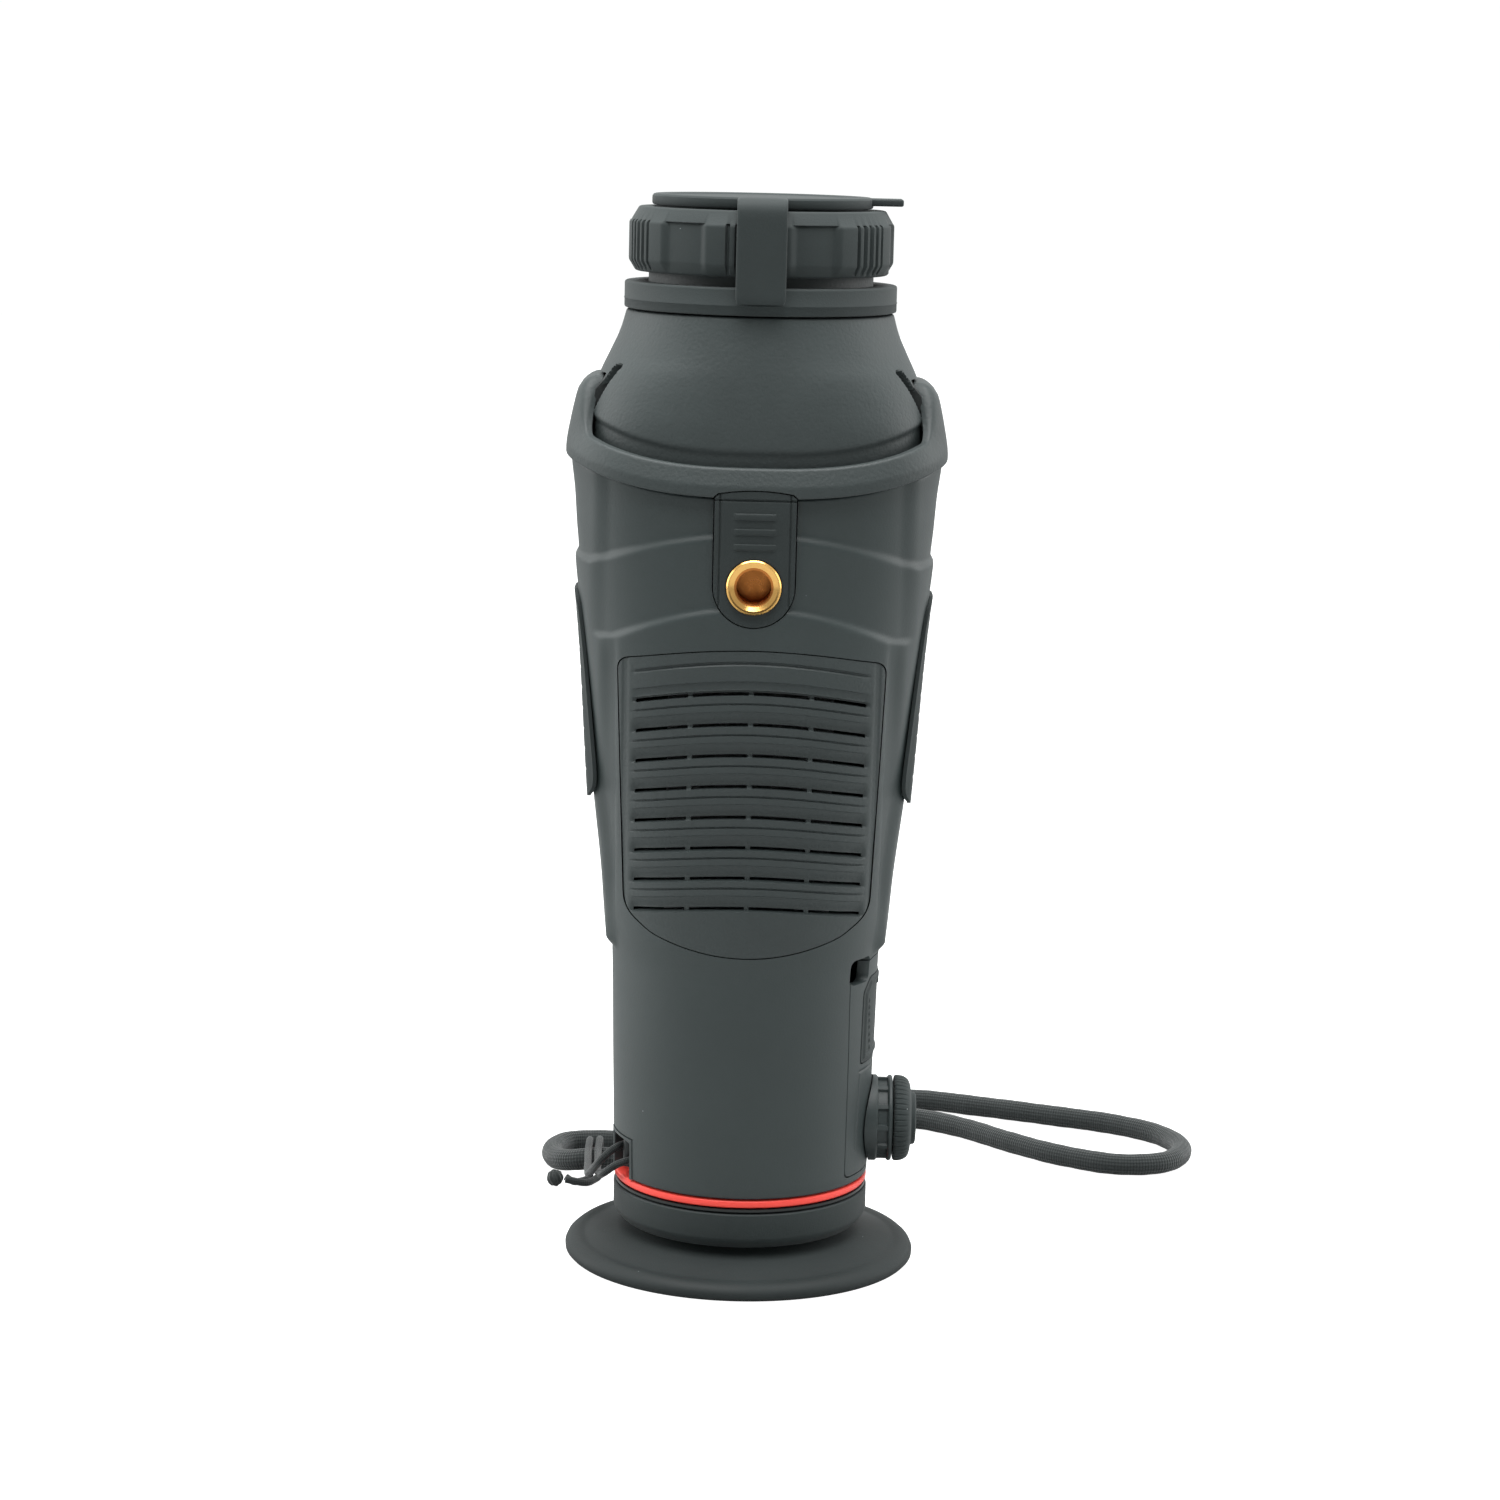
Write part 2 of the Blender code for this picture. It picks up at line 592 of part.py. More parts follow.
def build_side_panel(housing):
    """Panel on the knob side, with the rubber cover of the charging port."""
    shape = {"side": "right", "half": PANEL_HALF_DEPTH, "low": flat(19.0), "high": arch(61.5, 60.2)}
    boolean(housing, patch("panel_cutter", inner=-6, outer=4, finish=None, grow=GAP, **shape))
    panel = patch("side_panel", inner=-WALL, outer=0, finish="matte_plastic", **shape)
    hinge = (surface_point("right", 0, PORT_BOTTOM, 0)[0] + 0.2, 0, PORT_BOTTOM)
    cover = {"side": "right", "half": PORT_HALF_WIDTH, "low": flat(PORT_BOTTOM),
             "high": flat(PORT_TOP)}
    boolean(panel, patch("port_cutter", inner=-6, outer=4, finish=None, grow=GAP, **cover))
    patch("port_cover", inner=-WALL, outer=0.2, finish="rubber", origin=hinge, counts=(6, 4), **cover)
    block("usb_socket", (17.6, -4.5, 44.2), (22.2, 4.5, 51.6), "steel")
    return panel


def build_lug(housing):
    """Pocket with an upright pin for the wrist cord's string."""
    half_t, half_z = LUG_SIZE[0] / 2, LUG_SIZE[1] / 2
    inner_end = BARREL_RADIUS - LUG_DEPTH - 1.0
    mouth = BARREL_RADIUS - 0.2
    boolean(housing, block("lug_cutter", (10, -half_t - GAP, LUG_HEIGHT - half_z - 1),
                           (40, half_t + GAP, LUG_HEIGHT + half_z + GAP), None, LUG_ANGLE))
    lug = block("strap_lug", (inner_end, -half_t, LUG_HEIGHT - half_z),
                (mouth + 3, half_t, LUG_HEIGHT + half_z), "matte_plastic", LUG_ANGLE)
    envelope = ring_solid("lug_envelope", [
        section_ring(BODY_SECTIONS, level(h), 0.05) for h in (10.0, 40.0)], None)
    boolean(lug, envelope, "INTERSECT")
    wall = 1.1
    boolean(lug, block("pocket_cutter", (inner_end + 1.0, -half_t + wall, LUG_HEIGHT - half_z + wall),
                       (40, half_t - wall, LUG_HEIGHT + half_z - wall), None, LUG_ANGLE))
    centre = 22.9
    half = half_z - wall - 0.1
    disc("strap_lug_pin", 1.1, LUG_HEIGHT - half, LUG_HEIGHT + half, "steel", steps=16,
         origin=(centre * math.cos(LUG_ANGLE), centre * math.sin(LUG_ANGLE), 0))


# ---------------------------------------------------------------- objective end
def build_objective(cone):
    """Focus ring, sliding lens cell and its guide pin."""
    turned("focus_ring", [
        (RING_RADIUS - 0.5, RING_TOP - 2.4), (RING_RADIUS, RING_TOP - 2.8),
        (RING_RADIUS, RING_BOTTOM + 2.0), (RING_RADIUS - 1.4, RING_BOTTOM),
        (NECK_RADIUS + GAP, RING_BOTTOM), (NECK_RADIUS + GAP, NECK_TOP + GAP),
        (RING_BORE, NECK_TOP + GAP), (RING_BORE, RING_TOP), (RING_RADIUS - 1.9, RING_TOP),
    ], "rubber", steps=40)
    low, high = 162.0, RING_TOP - 3.3
    cell = turned("objective_cell", [
        (CELL_RADIUS, high), (CELL_RADIUS, low), (CELL_BORE, low), (CELL_BORE, 170.6),
        (CELL_BORE - 1.4, 170.6), (CELL_BORE - 1.4, 172.0), (CELL_BORE, 172.0), (CELL_BORE, high),
    ], "anodised_black")
    lens = CELL_BORE - GAP
    turned("objective_front_lens", [(0, high - 0.4), (lens, high - 1.2), (lens, high - 4.4),
                                    (0, high - 4.0)], "glass", steps=24, closed=False)
    tube("objective_retainer", lens, lens - 1.6, high - 6.2, high - 4.7, "anodised_black", steps=24)
    turned("objective_rear_lens", [(0, 170.0), (lens, 169.4), (lens, 166.6), (0, 166.2)], "glass",
           steps=24, closed=False)
    pin_height = 187.0
    pin = {"steps": 12}
    guide = disc("guide_pin", 1.2, CELL_BORE + 0.5, NECK_RADIUS - 0.3, "steel", **pin)
    hole = disc("guide_cutter", 1.2 + GAP, 10, 24, None, **pin)
    for obj in (guide, hole):
        obj.location = (0, 0, pin_height * MM)
        obj.rotation_euler = (-math.pi / 2, 0, 0)
    boolean(cone, hole)
    reach = FOCUS_TRAVEL + 1.2 + GAP
    boolean(cell, block("guide_slot_cutter", (-1.5, 12, pin_height - reach),
                        (1.5, 22, pin_height + reach), None))


def build_lens_cap():
    """Rubber band, strap and cap; the strap is split at its upper bend."""
    tube("tether_band", BAND_RADIUS, NECK_RADIUS + GAP, CONE_TOP + GAP, BAND_TOP, "rubber", steps=40)
    half = STRAP_WIDTH / 2
    inner_face = -(BAND_RADIUS + GAP)
    outer_face = inner_face - STRAP_THICKNESS
    cap_low = RING_TOP + GAP
    strap_low = cap_low + 0.4
    block("cap_strap", (-half, outer_face, 186.6), (half, inner_face, strap_low - GAP), "rubber")
    top = cap_low + CAP_THICKNESS
    hinge = (0, outer_face - 0.1, strap_low - GAP / 2)
    plug = RING_BORE - GAP
    cap = turned("lens_cap", [
        (0, top), (CAP_RADIUS - 0.3, top), (CAP_RADIUS, top - 0.3), (CAP_RADIUS, cap_low),
        (plug, cap_low), (plug, cap_low - 1.4), (0, cap_low - 1.4),
    ], "rubber", steps=40, closed=False)
    profile = [(outer_face + 0.1, strap_low), (outer_face + 1.75, strap_low + STRAP_THICKNESS),
               (-CAP_RADIUS + 4, strap_low + STRAP_THICKNESS), (-CAP_RADIUS + 4, strap_low)]
    points = [(x, y, z) for x in (-half, half) for y, z in profile]
    faces = [(0, 1, 2, 3), (7, 6, 5, 4)] + strip_faces(4, 0, 4)
    boolean(cap, mesh_object("strap_top_join", points, faces, None), "UNION")
    boolean(cap, block("pull_tab_join", (15, -4.0, top - 1.5), (26.0, 4.0, top - 0.05), None), "UNION")
    shift = Vector(hinge) * MM
    cap.data.transform(Matrix.Translation(-shift))
    cap.location = shift
    # The screw turns about the mesh's own Z axis through its object origin, so the
    # turning axis is handed to the modifier as an empty on the optical axis.
    centre = bpy.data.objects.new("cap_axis", None)
    MODEL.objects.link(centre)
    cap.modifiers["turn"].object = centre


# ---------------------------------------------------------------- inside
def build_electronics(heat_sink):
    """Battery, boards, display and thermal sensor."""
    block("display_module", (-14, -11, 43.2), (14, 11, 48.4), "circuit")
    disc("battery", BATTERY_RADIUS, 52.0, 52.0 + BATTERY_LENGTH, "battery_wrap", origin=(0, 1, 0),
         steps=24)
    cradle = block("battery_cradle", (-11.0, -11.6, 50.4), (11.0, -1.0, 118.6), "matte_plastic")
    boolean(cradle, disc("cradle_cutter", BATTERY_RADIUS + GAP, 51.6, 117.4, None, origin=(0, 1, 0),
                         steps=24))
    board = block("main_board", (-18.5, -15.4, HEAD_BOTTOM + 0.7), (18.5, -13.8, 119.0), "circuit")
    for k, height in enumerate((76.0, 110.0), 1):
        x = 13.0
        for target, name in ((board, "board"), (heat_sink, "sink")):
            hole = disc(f"{name}_screw_cutter_{k}", 1.6, 5, 18.6, None, steps=16)
            hole.location = Vector((x, 0, height)) * MM
            hole.rotation_euler = (math.pi / 2, 0, 0)
            boolean(target, hole)
        screw = turned(f"board_screw_{k}", [(0, 12.0), (2.6, 12.0), (2.6, 13.5), (1.3, 13.5),
                                            (1.3, 18.2), (0, 18.2)], "steel", steps=16, closed=False)
        screw.location = Vector((x, 0, height)) * MM
        screw.rotation_euler = (math.pi / 2, 0, 0)
    block("sensor_module", (-14, -14, 124.0), (14, 14, 147.0), "aluminium")
    block("button_board", (-7.5, 19.6, BUTTON_FIRST - 7),
          (7.5, 21.2, BUTTON_FIRST + BUTTON_PITCH * (BUTTON_COUNT - 1) + 7), "circuit")


def build_buttons(housing):
    """Row of buttons on the top, in a thin surround."""
    last = BUTTON_FIRST + BUTTON_PITCH * (BUTTON_COUNT - 1)
    half_x, half_z = BUTTON_SIZE[0] / 2, BUTTON_SIZE[1] / 2
    shape = {"side": "back", "half": half_x + 3.0,
             "low": arch(BUTTON_FIRST - 9.5, BUTTON_FIRST - 7.0),
             "high": arch(last + 9.5, last + 7.0)}
    recess = 1.1
    boolean(housing, patch("surround_cutter", inner=-recess, outer=4, finish=None, grow=GAP, **shape))
    surround = patch("button_surround", inner=GAP - recess, outer=0.3, finish="rubber", **shape)
    names = ("power", "range", "menu", "zoom")
    for k, name in enumerate(names[:BUTTON_COUNT]):
        height = BUTTON_FIRST + BUTTON_PITCH * k
        depth = section_at(BODY_SECTIONS, height)[1]
        inside = depth - WALL - GAP - BUTTON_TRAVEL
        hole = block(f"{name}_cutter", (-half_x - GAP, 10, height - half_z - GAP),
                     (half_x + GAP, 40, height + half_z + GAP), None)
        boolean(housing, hole)
        boolean(surround, hole)
        rings = []
        for grow, y in ((1.2, inside - 1.6), (1.2, inside), (0.0, inside), (0.0, depth + 0.9),
                        (-0.6, depth + 1.3)):
            outline = rounded_outline(half_x + grow, half_z + grow, 1.6)
            rings.append([(x, y, height + z) for x, z in outline])
        ring_solid(f"{name}_button", rings, "rubber", origin=(0, depth, height))


# ---------------------------------------------------------------- wrist cord
# Points of the routes lie on the floor behind the body; the curve through them is smooth.
FERRULE_CENTRE = (3.0, 66.5, 3.4)
FERRULE_DIRECTION = Vector((0.823, 0.568, 0.0)).normalized()
FERRULE_LENGTH = 12.0
FERRULE_RADIUS = 3.3
CORD_ROUTE = (
    (-2.4, 62.8, 3.4), (-9.0, 58.2, 3.0), (-17.0, 52.4, 2.9), (-24.0, 47.2, 4.1),
    (-30.3, 44.0, 4.8), (-35.6, 46.0, 3.7), (-39.0, 51.6, 2.5), (-39.9, 58.4, 2.3),
    (-37.2, 64.4, 2.3), (-31.8, 66.0, 2.3), (-25.0, 66.8, 2.3), (-12.0, 76.2, 2.3),
    (5.0, 91.0, 2.3), (20.0, 101.6, 2.3), (39.0, 105.6, 2.3), (53.0, 101.2, 2.3),
    (68.5, 95.0, 2.3), (83.0, 88.4, 2.3), (91.8, 80.6, 2.3), (95.2, 69.6, 2.3),
    (90.6, 59.8, 2.3), (80.8, 57.2, 2.3), (68.8, 63.0, 2.3), (58.4, 72.4, 2.3),
    (48.6, 83.0, 2.3), (38.5, 89.6, 2.3), (27.6, 88.4, 2.3), (18.2, 78.6, 2.6),
    (8.4, 70.2, 3.4),
)
HITCH = (-30.5, 44.0)        # where the string passes round the cord
KNOT_CENTRE = (-38.4, 38.6, 1.95)
KNOT_RADIUS = 1.85


def smooth_route(points, spacing):
    """Evenly spaced points on a centripetal curve through hand-chosen ones."""
    knots = [Vector(p) for p in points]
    knots = [2 * knots[0] - knots[1]] + knots + [2 * knots[-1] - knots[-2]]
    dense = []
    for k in range(1, len(knots) - 2):
        p0, p1, p2, p3 = knots[k - 1:k + 3]
        t1 = (p1 - p0).length ** 0.5
        t2 = t1 + (p2 - p1).length ** 0.5
        t3 = t2 + (p3 - p2).length ** 0.5
        for i in range(20):
            t = t1 + (t2 - t1) * i / 20
            a1 = p0 * (t1 - t) / t1 + p1 * t / t1
            a2 = p1 * (t2 - t) / (t2 - t1) + p2 * (t - t1) / (t2 - t1)
            a3 = p2 * (t3 - t) / (t3 - t2) + p3 * (t - t2) / (t3 - t2)
            b1 = a1 * (t2 - t) / t2 + a2 * t / t2
            b2 = a2 * (t3 - t) / (t3 - t1) + a3 * (t - t1) / (t3 - t1)
            dense.append(b1 * (t2 - t) / (t2 - t1) + b2 * (t - t1) / (t2 - t1))
    dense.append(knots[-2])
    lengths = [0.0]
    for a, b in zip(dense, dense[1:]):
        lengths.append(lengths[-1] + (b - a).length)
    count = max(2, round(lengths[-1] / spacing))
    route, k = [], 0
    for i in range(count + 1):
        goal = lengths[-1] * i / count
        while k < len(lengths) - 2 and lengths[k + 1] < goal:
            k += 1
        share = (goal - lengths[k]) / (lengths[k + 1] - lengths[k])
        route.append(dense[k].lerp(dense[k + 1], share))
    return route


def cord_tube(name, points, diameter, resolution):
    """A round cord along a smooth route."""
    route = smooth_route(points, diameter * 2)
    curve = bpy.data.curves.new(name, "CURVE")
    curve.dimensions = "3D"
    curve.bevel_depth = diameter / 2 * MM
    curve.bevel_resolution = resolution
    curve.use_fill_caps = True
    spline = curve.splines.new("POLY")
    spline.points.add(len(route) - 1)
    for point, place in zip(spline.points, route):
        point.co = (*(place * MM), 1.0)
    return add_object(name, curve, "cord")


def lug_place(radial, round_the_barrel, height):
    """A point given in the strap lug's own directions."""
    cosine, sine = math.cos(LUG_ANGLE), math.sin(LUG_ANGLE)
    return (radial * cosine - round_the_barrel * sine, radial * sine + round_the_barrel * cosine,
            height)


def string_route(side):
    """One strand: from behind the lug pin, over the cord, round it and into the knot."""
    x, y = HITCH
    x -= side
    y += 0.3 - side * 0.3
    wrap = CORD_DIAMETER / 2 + STRING_DIAMETER / 2 + 0.9
    middle = 4.8
    return (
        lug_place(20.95, side * -0.9, 21.4 + side * 0.9), lug_place(21.9, side * -2.1, 21.4 + side * 0.9),
        lug_place(23.4, side * -2.4, 21.2 + side * 0.9), lug_place(25.8, side * -1.7, 20.4 + side * 1.0),
        lug_place(28.0, side * -0.9 - 1.0, 18.4 + side * 1.1), (-28.6 - side * 1.0, 1.5, 14.2),
        (-29.6 - side * 1.0, 14.0, 10.9), (-30.1 - side * 1.0, 27.0, 9.3), (x, y - 7.5, 8.5),
        (x, y - 3.4, 8.7), (x, y, middle + wrap), (x, y + wrap * 0.72, middle + wrap * 0.72),
        (x, y + wrap, middle), (x, y + wrap * 0.72, middle - wrap * 0.70), (x, y, middle - wrap),
        (x - 0.9, y - 3.3, 0.95), (x - 2.8 - side * 0.3, y - 5.6 + side * 0.6, 1.1),
        (-36.2, 38.6 + side * 0.85, 1.9),
    )


def build_wrist_cord():
    """Cord loop with its ferrule, and the two-strand string that ties it to the lug."""
    cord_tube("wrist_cord", CORD_ROUTE, CORD_DIAMETER, 2)
    ferrule = disc("cord_ferrule", FERRULE_RADIUS, -FERRULE_LENGTH / 2, FERRULE_LENGTH / 2, "rubber",
                   steps=16)
    ferrule.location = Vector(FERRULE_CENTRE) * MM
    ferrule.rotation_euler = FERRULE_DIRECTION.to_track_quat("Z", "Y").to_euler()
    cord_tube("lug_string_a", string_route(-1), STRING_DIAMETER, 2)
    cord_tube("lug_string_b", string_route(1), STRING_DIAMETER, 2)
    mesh = bpy.data.meshes.new("string_knot")
    surface = bmesh.new()
    bmesh.ops.create_uvsphere(surface, u_segments=14, v_segments=8, radius=KNOT_RADIUS * MM)
    surface.to_mesh(mesh)
    surface.free()
    knot = add_object("string_knot", mesh, "cord")
    knot.location = Vector(KNOT_CENTRE) * MM


# ---------------------------------------------------------------- assembly
def build():
    housing, bezel, cone, deck = build_shells()
    build_laser_windows(cone, deck)
    heat_sink = build_vent(housing)
    build_tripod_socket(housing, bezel)
    build_side_pads()
    barrel = build_eyepiece()
    panel = build_side_panel(housing)
    build_dioptre(barrel, panel)
    build_lug(housing)
    build_objective(cone)
    build_lens_cap()
    build_electronics(heat_sink)
    build_buttons(housing)
    build_wrist_cord()
    for obj in MODEL.objects:
        if obj.type == "MESH" and obj.data.polygons:
            obj.data.shade_smooth()
            obj.data.set_sharp_from_angle(angle=math.radians(30))


build()
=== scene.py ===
# %% [markdown]
# # A monocular with a laser rangefinder
#
# The object is a handheld night monocular that stands on its rubber eyecup. Its working parts come
# from a CAD model, which is loaded as a fixed frame. This lesson makes the looks: smooth shells
# with fine edges, moulded plastic, soft rubber, turned brass, and a braided wrist cord.
#
# Places are in metres, with the optical axis up Z. -Y is the underside with the tripod thread,
# and +X is the side with the focusing knob for the eye. Sizes are written in millimetres and
# multiplied by MM, because that is how a maker would read them.

# %% Load the frame
import math

import bmesh
import bpy
from mathutils import Matrix, Vector


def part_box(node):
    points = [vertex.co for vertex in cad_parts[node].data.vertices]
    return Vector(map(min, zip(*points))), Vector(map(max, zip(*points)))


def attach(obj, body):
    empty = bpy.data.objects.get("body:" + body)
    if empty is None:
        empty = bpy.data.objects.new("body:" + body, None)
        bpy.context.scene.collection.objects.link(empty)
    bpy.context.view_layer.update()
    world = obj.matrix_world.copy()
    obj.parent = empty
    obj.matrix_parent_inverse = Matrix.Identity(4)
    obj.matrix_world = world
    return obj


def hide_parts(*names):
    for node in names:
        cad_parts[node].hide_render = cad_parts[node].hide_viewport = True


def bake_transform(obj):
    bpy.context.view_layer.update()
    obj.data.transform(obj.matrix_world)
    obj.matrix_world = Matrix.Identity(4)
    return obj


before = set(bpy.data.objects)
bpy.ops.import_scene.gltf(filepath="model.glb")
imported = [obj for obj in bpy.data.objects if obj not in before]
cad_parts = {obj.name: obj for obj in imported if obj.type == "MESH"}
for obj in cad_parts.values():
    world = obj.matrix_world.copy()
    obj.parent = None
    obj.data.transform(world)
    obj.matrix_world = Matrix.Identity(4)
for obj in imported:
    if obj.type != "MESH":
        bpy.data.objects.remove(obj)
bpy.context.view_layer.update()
MM = 0.001
scene = bpy.context.scene


def low(node):
    """The lowest corner of a CAD node, in millimetres."""
    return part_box(node)[0] / MM


def high(node):
    """The highest corner of a CAD node, in millimetres."""
    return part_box(node)[1] / MM


# %% [markdown]
# ## Camera
#
# The camera stands at the height of the object's top and looks a little down on it, so the round
# rings show as flat ellipses. It leans by about a degree. It could be aimed with a Track To
# constraint, but a matrix made of a place, a tilt and a lean is exact and stays where it is put.

# %% Camera
CAMERA_PLACE = Vector((0, -700, 221.6)) * MM
CAMERA_TILT = math.radians(80.13)
CAMERA_LEAN = math.radians(1.35)
camera_data = bpy.data.cameras.new("camera")
camera_data.lens = 88.4
camera_data.sensor_width = 36
camera_data.clip_start = 0.01
camera = bpy.data.objects.new("camera", camera_data)
scene.collection.objects.link(camera)
tilt = Matrix.Rotation(CAMERA_TILT, 4, "X")
lean = Matrix.Rotation(CAMERA_LEAN, 4, "Z")
camera.matrix_world = Matrix.Translation(CAMERA_PLACE) @ tilt @ lean
scene.camera = camera

# %% [markdown]
# ## Floor and light
#
# The object stands in a light tent: white all round, brighter at the sides and from above than
# from where the camera is. The dark matte shells then get pale rims where they turn away, and the
# faces that look at the camera stay deep and calm. The world's own colour gives that, and two
# large soft lights model the form. The floor is a plain pale sheet.

# %% Floor and light
scene.view_settings.view_transform = "Standard"


def tent_world():
    """White at the sides, behind and above, and dimmer towards the camera."""
    world = bpy.data.worlds.new("light_tent")
    world.use_nodes = True
    tree = world.node_tree
    background = tree.nodes["Background"]
    place = tree.nodes.new("ShaderNodeTexCoord")
    parts = tree.nodes.new("ShaderNodeSeparateXYZ")
    depth = tree.nodes.new("ShaderNodeMapRange")
    depth.inputs["From Min"].default_value = -0.95
    depth.inputs["From Max"].default_value = 0.10
    depth.inputs["To Min"].default_value = 0.10
    depth.inputs["To Max"].default_value = 1.05
    camera_sees = tree.nodes.new("ShaderNodeLightPath")
    plain = tree.nodes.new("ShaderNodeMix")
    plain.inputs["B"].default_value = 1.03
    tree.links.new(place.outputs["Generated"], parts.inputs["Vector"])
    tree.links.new(parts.outputs["Y"], depth.inputs["Value"])
    tree.links.new(camera_sees.outputs["Is Camera Ray"], plain.inputs["Factor"])
    tree.links.new(depth.outputs["Result"], plain.inputs["A"])
    tree.links.new(plain.outputs["Result"], background.inputs["Strength"])
    background.inputs["Color"].default_value = (0.985, 1.0, 0.995, 1)
    scene.world = world


def soft_light(name, place, size, power, aim=(0, 0, 0.1)):
    """A square area light, aimed at the middle of the object."""
    data = bpy.data.lights.new(name, "AREA")
    data.size = size
    data.energy = power
    light = bpy.data.objects.new(name, data)
    scene.collection.objects.link(light)
    light.location = place
    light.rotation_euler = (Vector(aim) - Vector(place)).to_track_quat("-Z", "Y").to_euler()


tent_world()
soft_light("light_above", (-0.05, -0.18, 1.1), 0.9, 19.0)
soft_light("light_left", (-1.1, 0.25, 0.4), 0.9, 6.0)
soft_light("light_right", (1.1, 0.3, 0.4), 0.9, 5.0)


# %% [markdown]
# ## Tools for modelling
#
# Blender's operators act on what is selected, so every step starts by selecting one object. Most
# pieces here are turned: a circle is drawn, extruded up and scaled ring by ring, as on a lathe.
# The Screw modifier could do it too, but extruding gives clean rings that can be picked and
# shaped afterwards, which the ribs of the focus ring need.

# %% Selecting, and corners made round
def only(obj):
    """Select this object alone and make it the active one."""
    bpy.ops.object.select_all(action="DESELECT")
    obj.select_set(True)
    bpy.context.view_layer.objects.active = obj


def edit(obj):
    """Enter edit mode with everything selected."""
    only(obj)
    bpy.ops.object.mode_set(mode="EDIT")
    bpy.ops.mesh.select_all(action="SELECT")


def leave_edit():
    """Merge what coincides, turn the faces outwards and go back to object mode."""
    bpy.ops.mesh.select_all(action="SELECT")
    bpy.ops.mesh.remove_doubles(threshold=0.000002)
    bpy.ops.mesh.normals_make_consistent(inside=False)
    bpy.ops.object.mode_set(mode="OBJECT")


def soften(points, radius, steps=4, cyclic=True):
    """Round the corners of an outline, by less where a side is short."""
    result = []
    count = len(points)
    for i, point in enumerate(points):
        if not cyclic and i in (0, count - 1):
            result.append(tuple(point))
            continue
        here = Vector(point)
        before = Vector(points[i - 1]) - here
        after = Vector(points[(i + 1) % count]) - here
        reach = min(radius, before.length * 0.45, after.length * 0.45)
        start = here + before.normalized() * reach
        end = here + after.normalized() * reach
        for k in range(steps + 1):
            t = k / steps
            result.append(tuple(start * (1 - t) ** 2 + here * 2 * t * (1 - t) + end * t * t))
    return result


def smooth(value, start, end):
    """A soft step from 0 before start to 1 after end."""
    t = min(1.0, max(0.0, (value - start) / (end - start)))
    return t * t * (3 - 2 * t)


# %% Turning a piece on the axis
AXIS_POINT = 0.02            # radius of a ring that is then closed to a point


def lathe(name, profile, sides=144, closed=True, place=None):
    """Turn (radius, height) pairs round Z, ring by ring; place moves the finished mesh."""
    bpy.ops.object.select_all(action="DESELECT")
    radius, height = profile[0]
    radius = max(radius, AXIS_POINT)
    bpy.ops.mesh.primitive_circle_add(vertices=sides, radius=radius * MM)
    obj = bpy.context.object
    obj.name = name
    edit(obj)
    bpy.ops.transform.translate(value=(0, 0, height * MM))
    for next_radius, next_height in profile[1:]:
        next_radius = max(next_radius, AXIS_POINT)
        rise = (next_height - height) * MM
        bpy.ops.mesh.extrude_region_move(TRANSFORM_OT_translate={"value": (0, 0, rise)})
        share = next_radius / radius
        bpy.ops.transform.resize(value=(share, share, 1), center_override=(0, 0, 0))
        radius, height = next_radius, next_height
    bpy.ops.mesh.select_mode(type="VERT")
    bpy.ops.mesh.select_all(action="DESELECT")
    bpy.ops.mesh.select_non_manifold()
    if closed:
        bpy.ops.mesh.bridge_edge_loops()
    else:
        bpy.ops.mesh.edge_collapse()
    leave_edit()
    if place:
        obj.data.transform(place)
    return obj


# %% Modifiers, cutting and finishing
def apply(obj, kind, **values):
    """Add a modifier with these values and apply it."""
    only(obj)
    modifier = obj.modifiers.new(kind.lower(), kind)
    for key, value in values.items():
        setattr(modifier, key, value)
    bpy.ops.object.modifier_apply(modifier=modifier.name)
    return obj


def cut(obj, cutter, operation="DIFFERENCE", spare=False):
    """Cut, join or keep what is common with another object, which is then removed."""
    apply(obj, "BOOLEAN", operation=operation, object=cutter, solver="EXACT")
    if not spare:
        bpy.data.objects.remove(cutter)
    return obj


def round_edges(obj, width, angle=50, segments=2):
    """A small bevel on every edge sharper than the angle."""
    return apply(obj, "BEVEL", width=width * MM, segments=segments, limit_method="ANGLE",
                 angle_limit=math.radians(angle), use_clamp_overlap=True)


made = []


def finish(obj, material, body, slot, *nodes, angle=35, blend=None):
    """Shade and paint a piece, hang it on its body or bake its place, and hide the CAD nodes it stands
    for.
    """
    only(obj)
    bpy.ops.object.shade_smooth_by_angle(angle=math.radians(angle))
    obj.data.materials.clear()
    obj.data.materials.append(material)
    if blend:
        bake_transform(obj)
    else:
        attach(obj, body)
    if nodes:
        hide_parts(*nodes)
    made.append(obj)
    size = [round(x / MM, 1) for x in obj.dimensions]
    print(f"{obj.name}: {len(obj.data.polygons)} faces, {size} mm")
    return obj


# %% [markdown]
# ## Finishes
#
# Moulded plastic is never one flat colour: the mould is etched, so the skin has a fine grain, the
# gloss wanders, and handling leaves pale specks. One node group gives all of that
# from a few named sizes, and each material places it with its own values. The group puts out
# only a colour, a roughness and a height, so the shader and the bump stay in the material.

# %% Node helpers
def add(tree, kind, **values):
    """A shader node, with settings by name; keys that match an input set the input."""
    node = tree.nodes.new("ShaderNode" + kind)
    for key, value in values.items():
        label = key.replace("_", " ").title()
        if hasattr(node, key):
            setattr(node, key, value)
        else:
            node.inputs[label].default_value = value
    return node


def joined(tree, *pairs):
    """Link many pairs of sockets."""
    for start, end in pairs:
        tree.links.new(start, end)


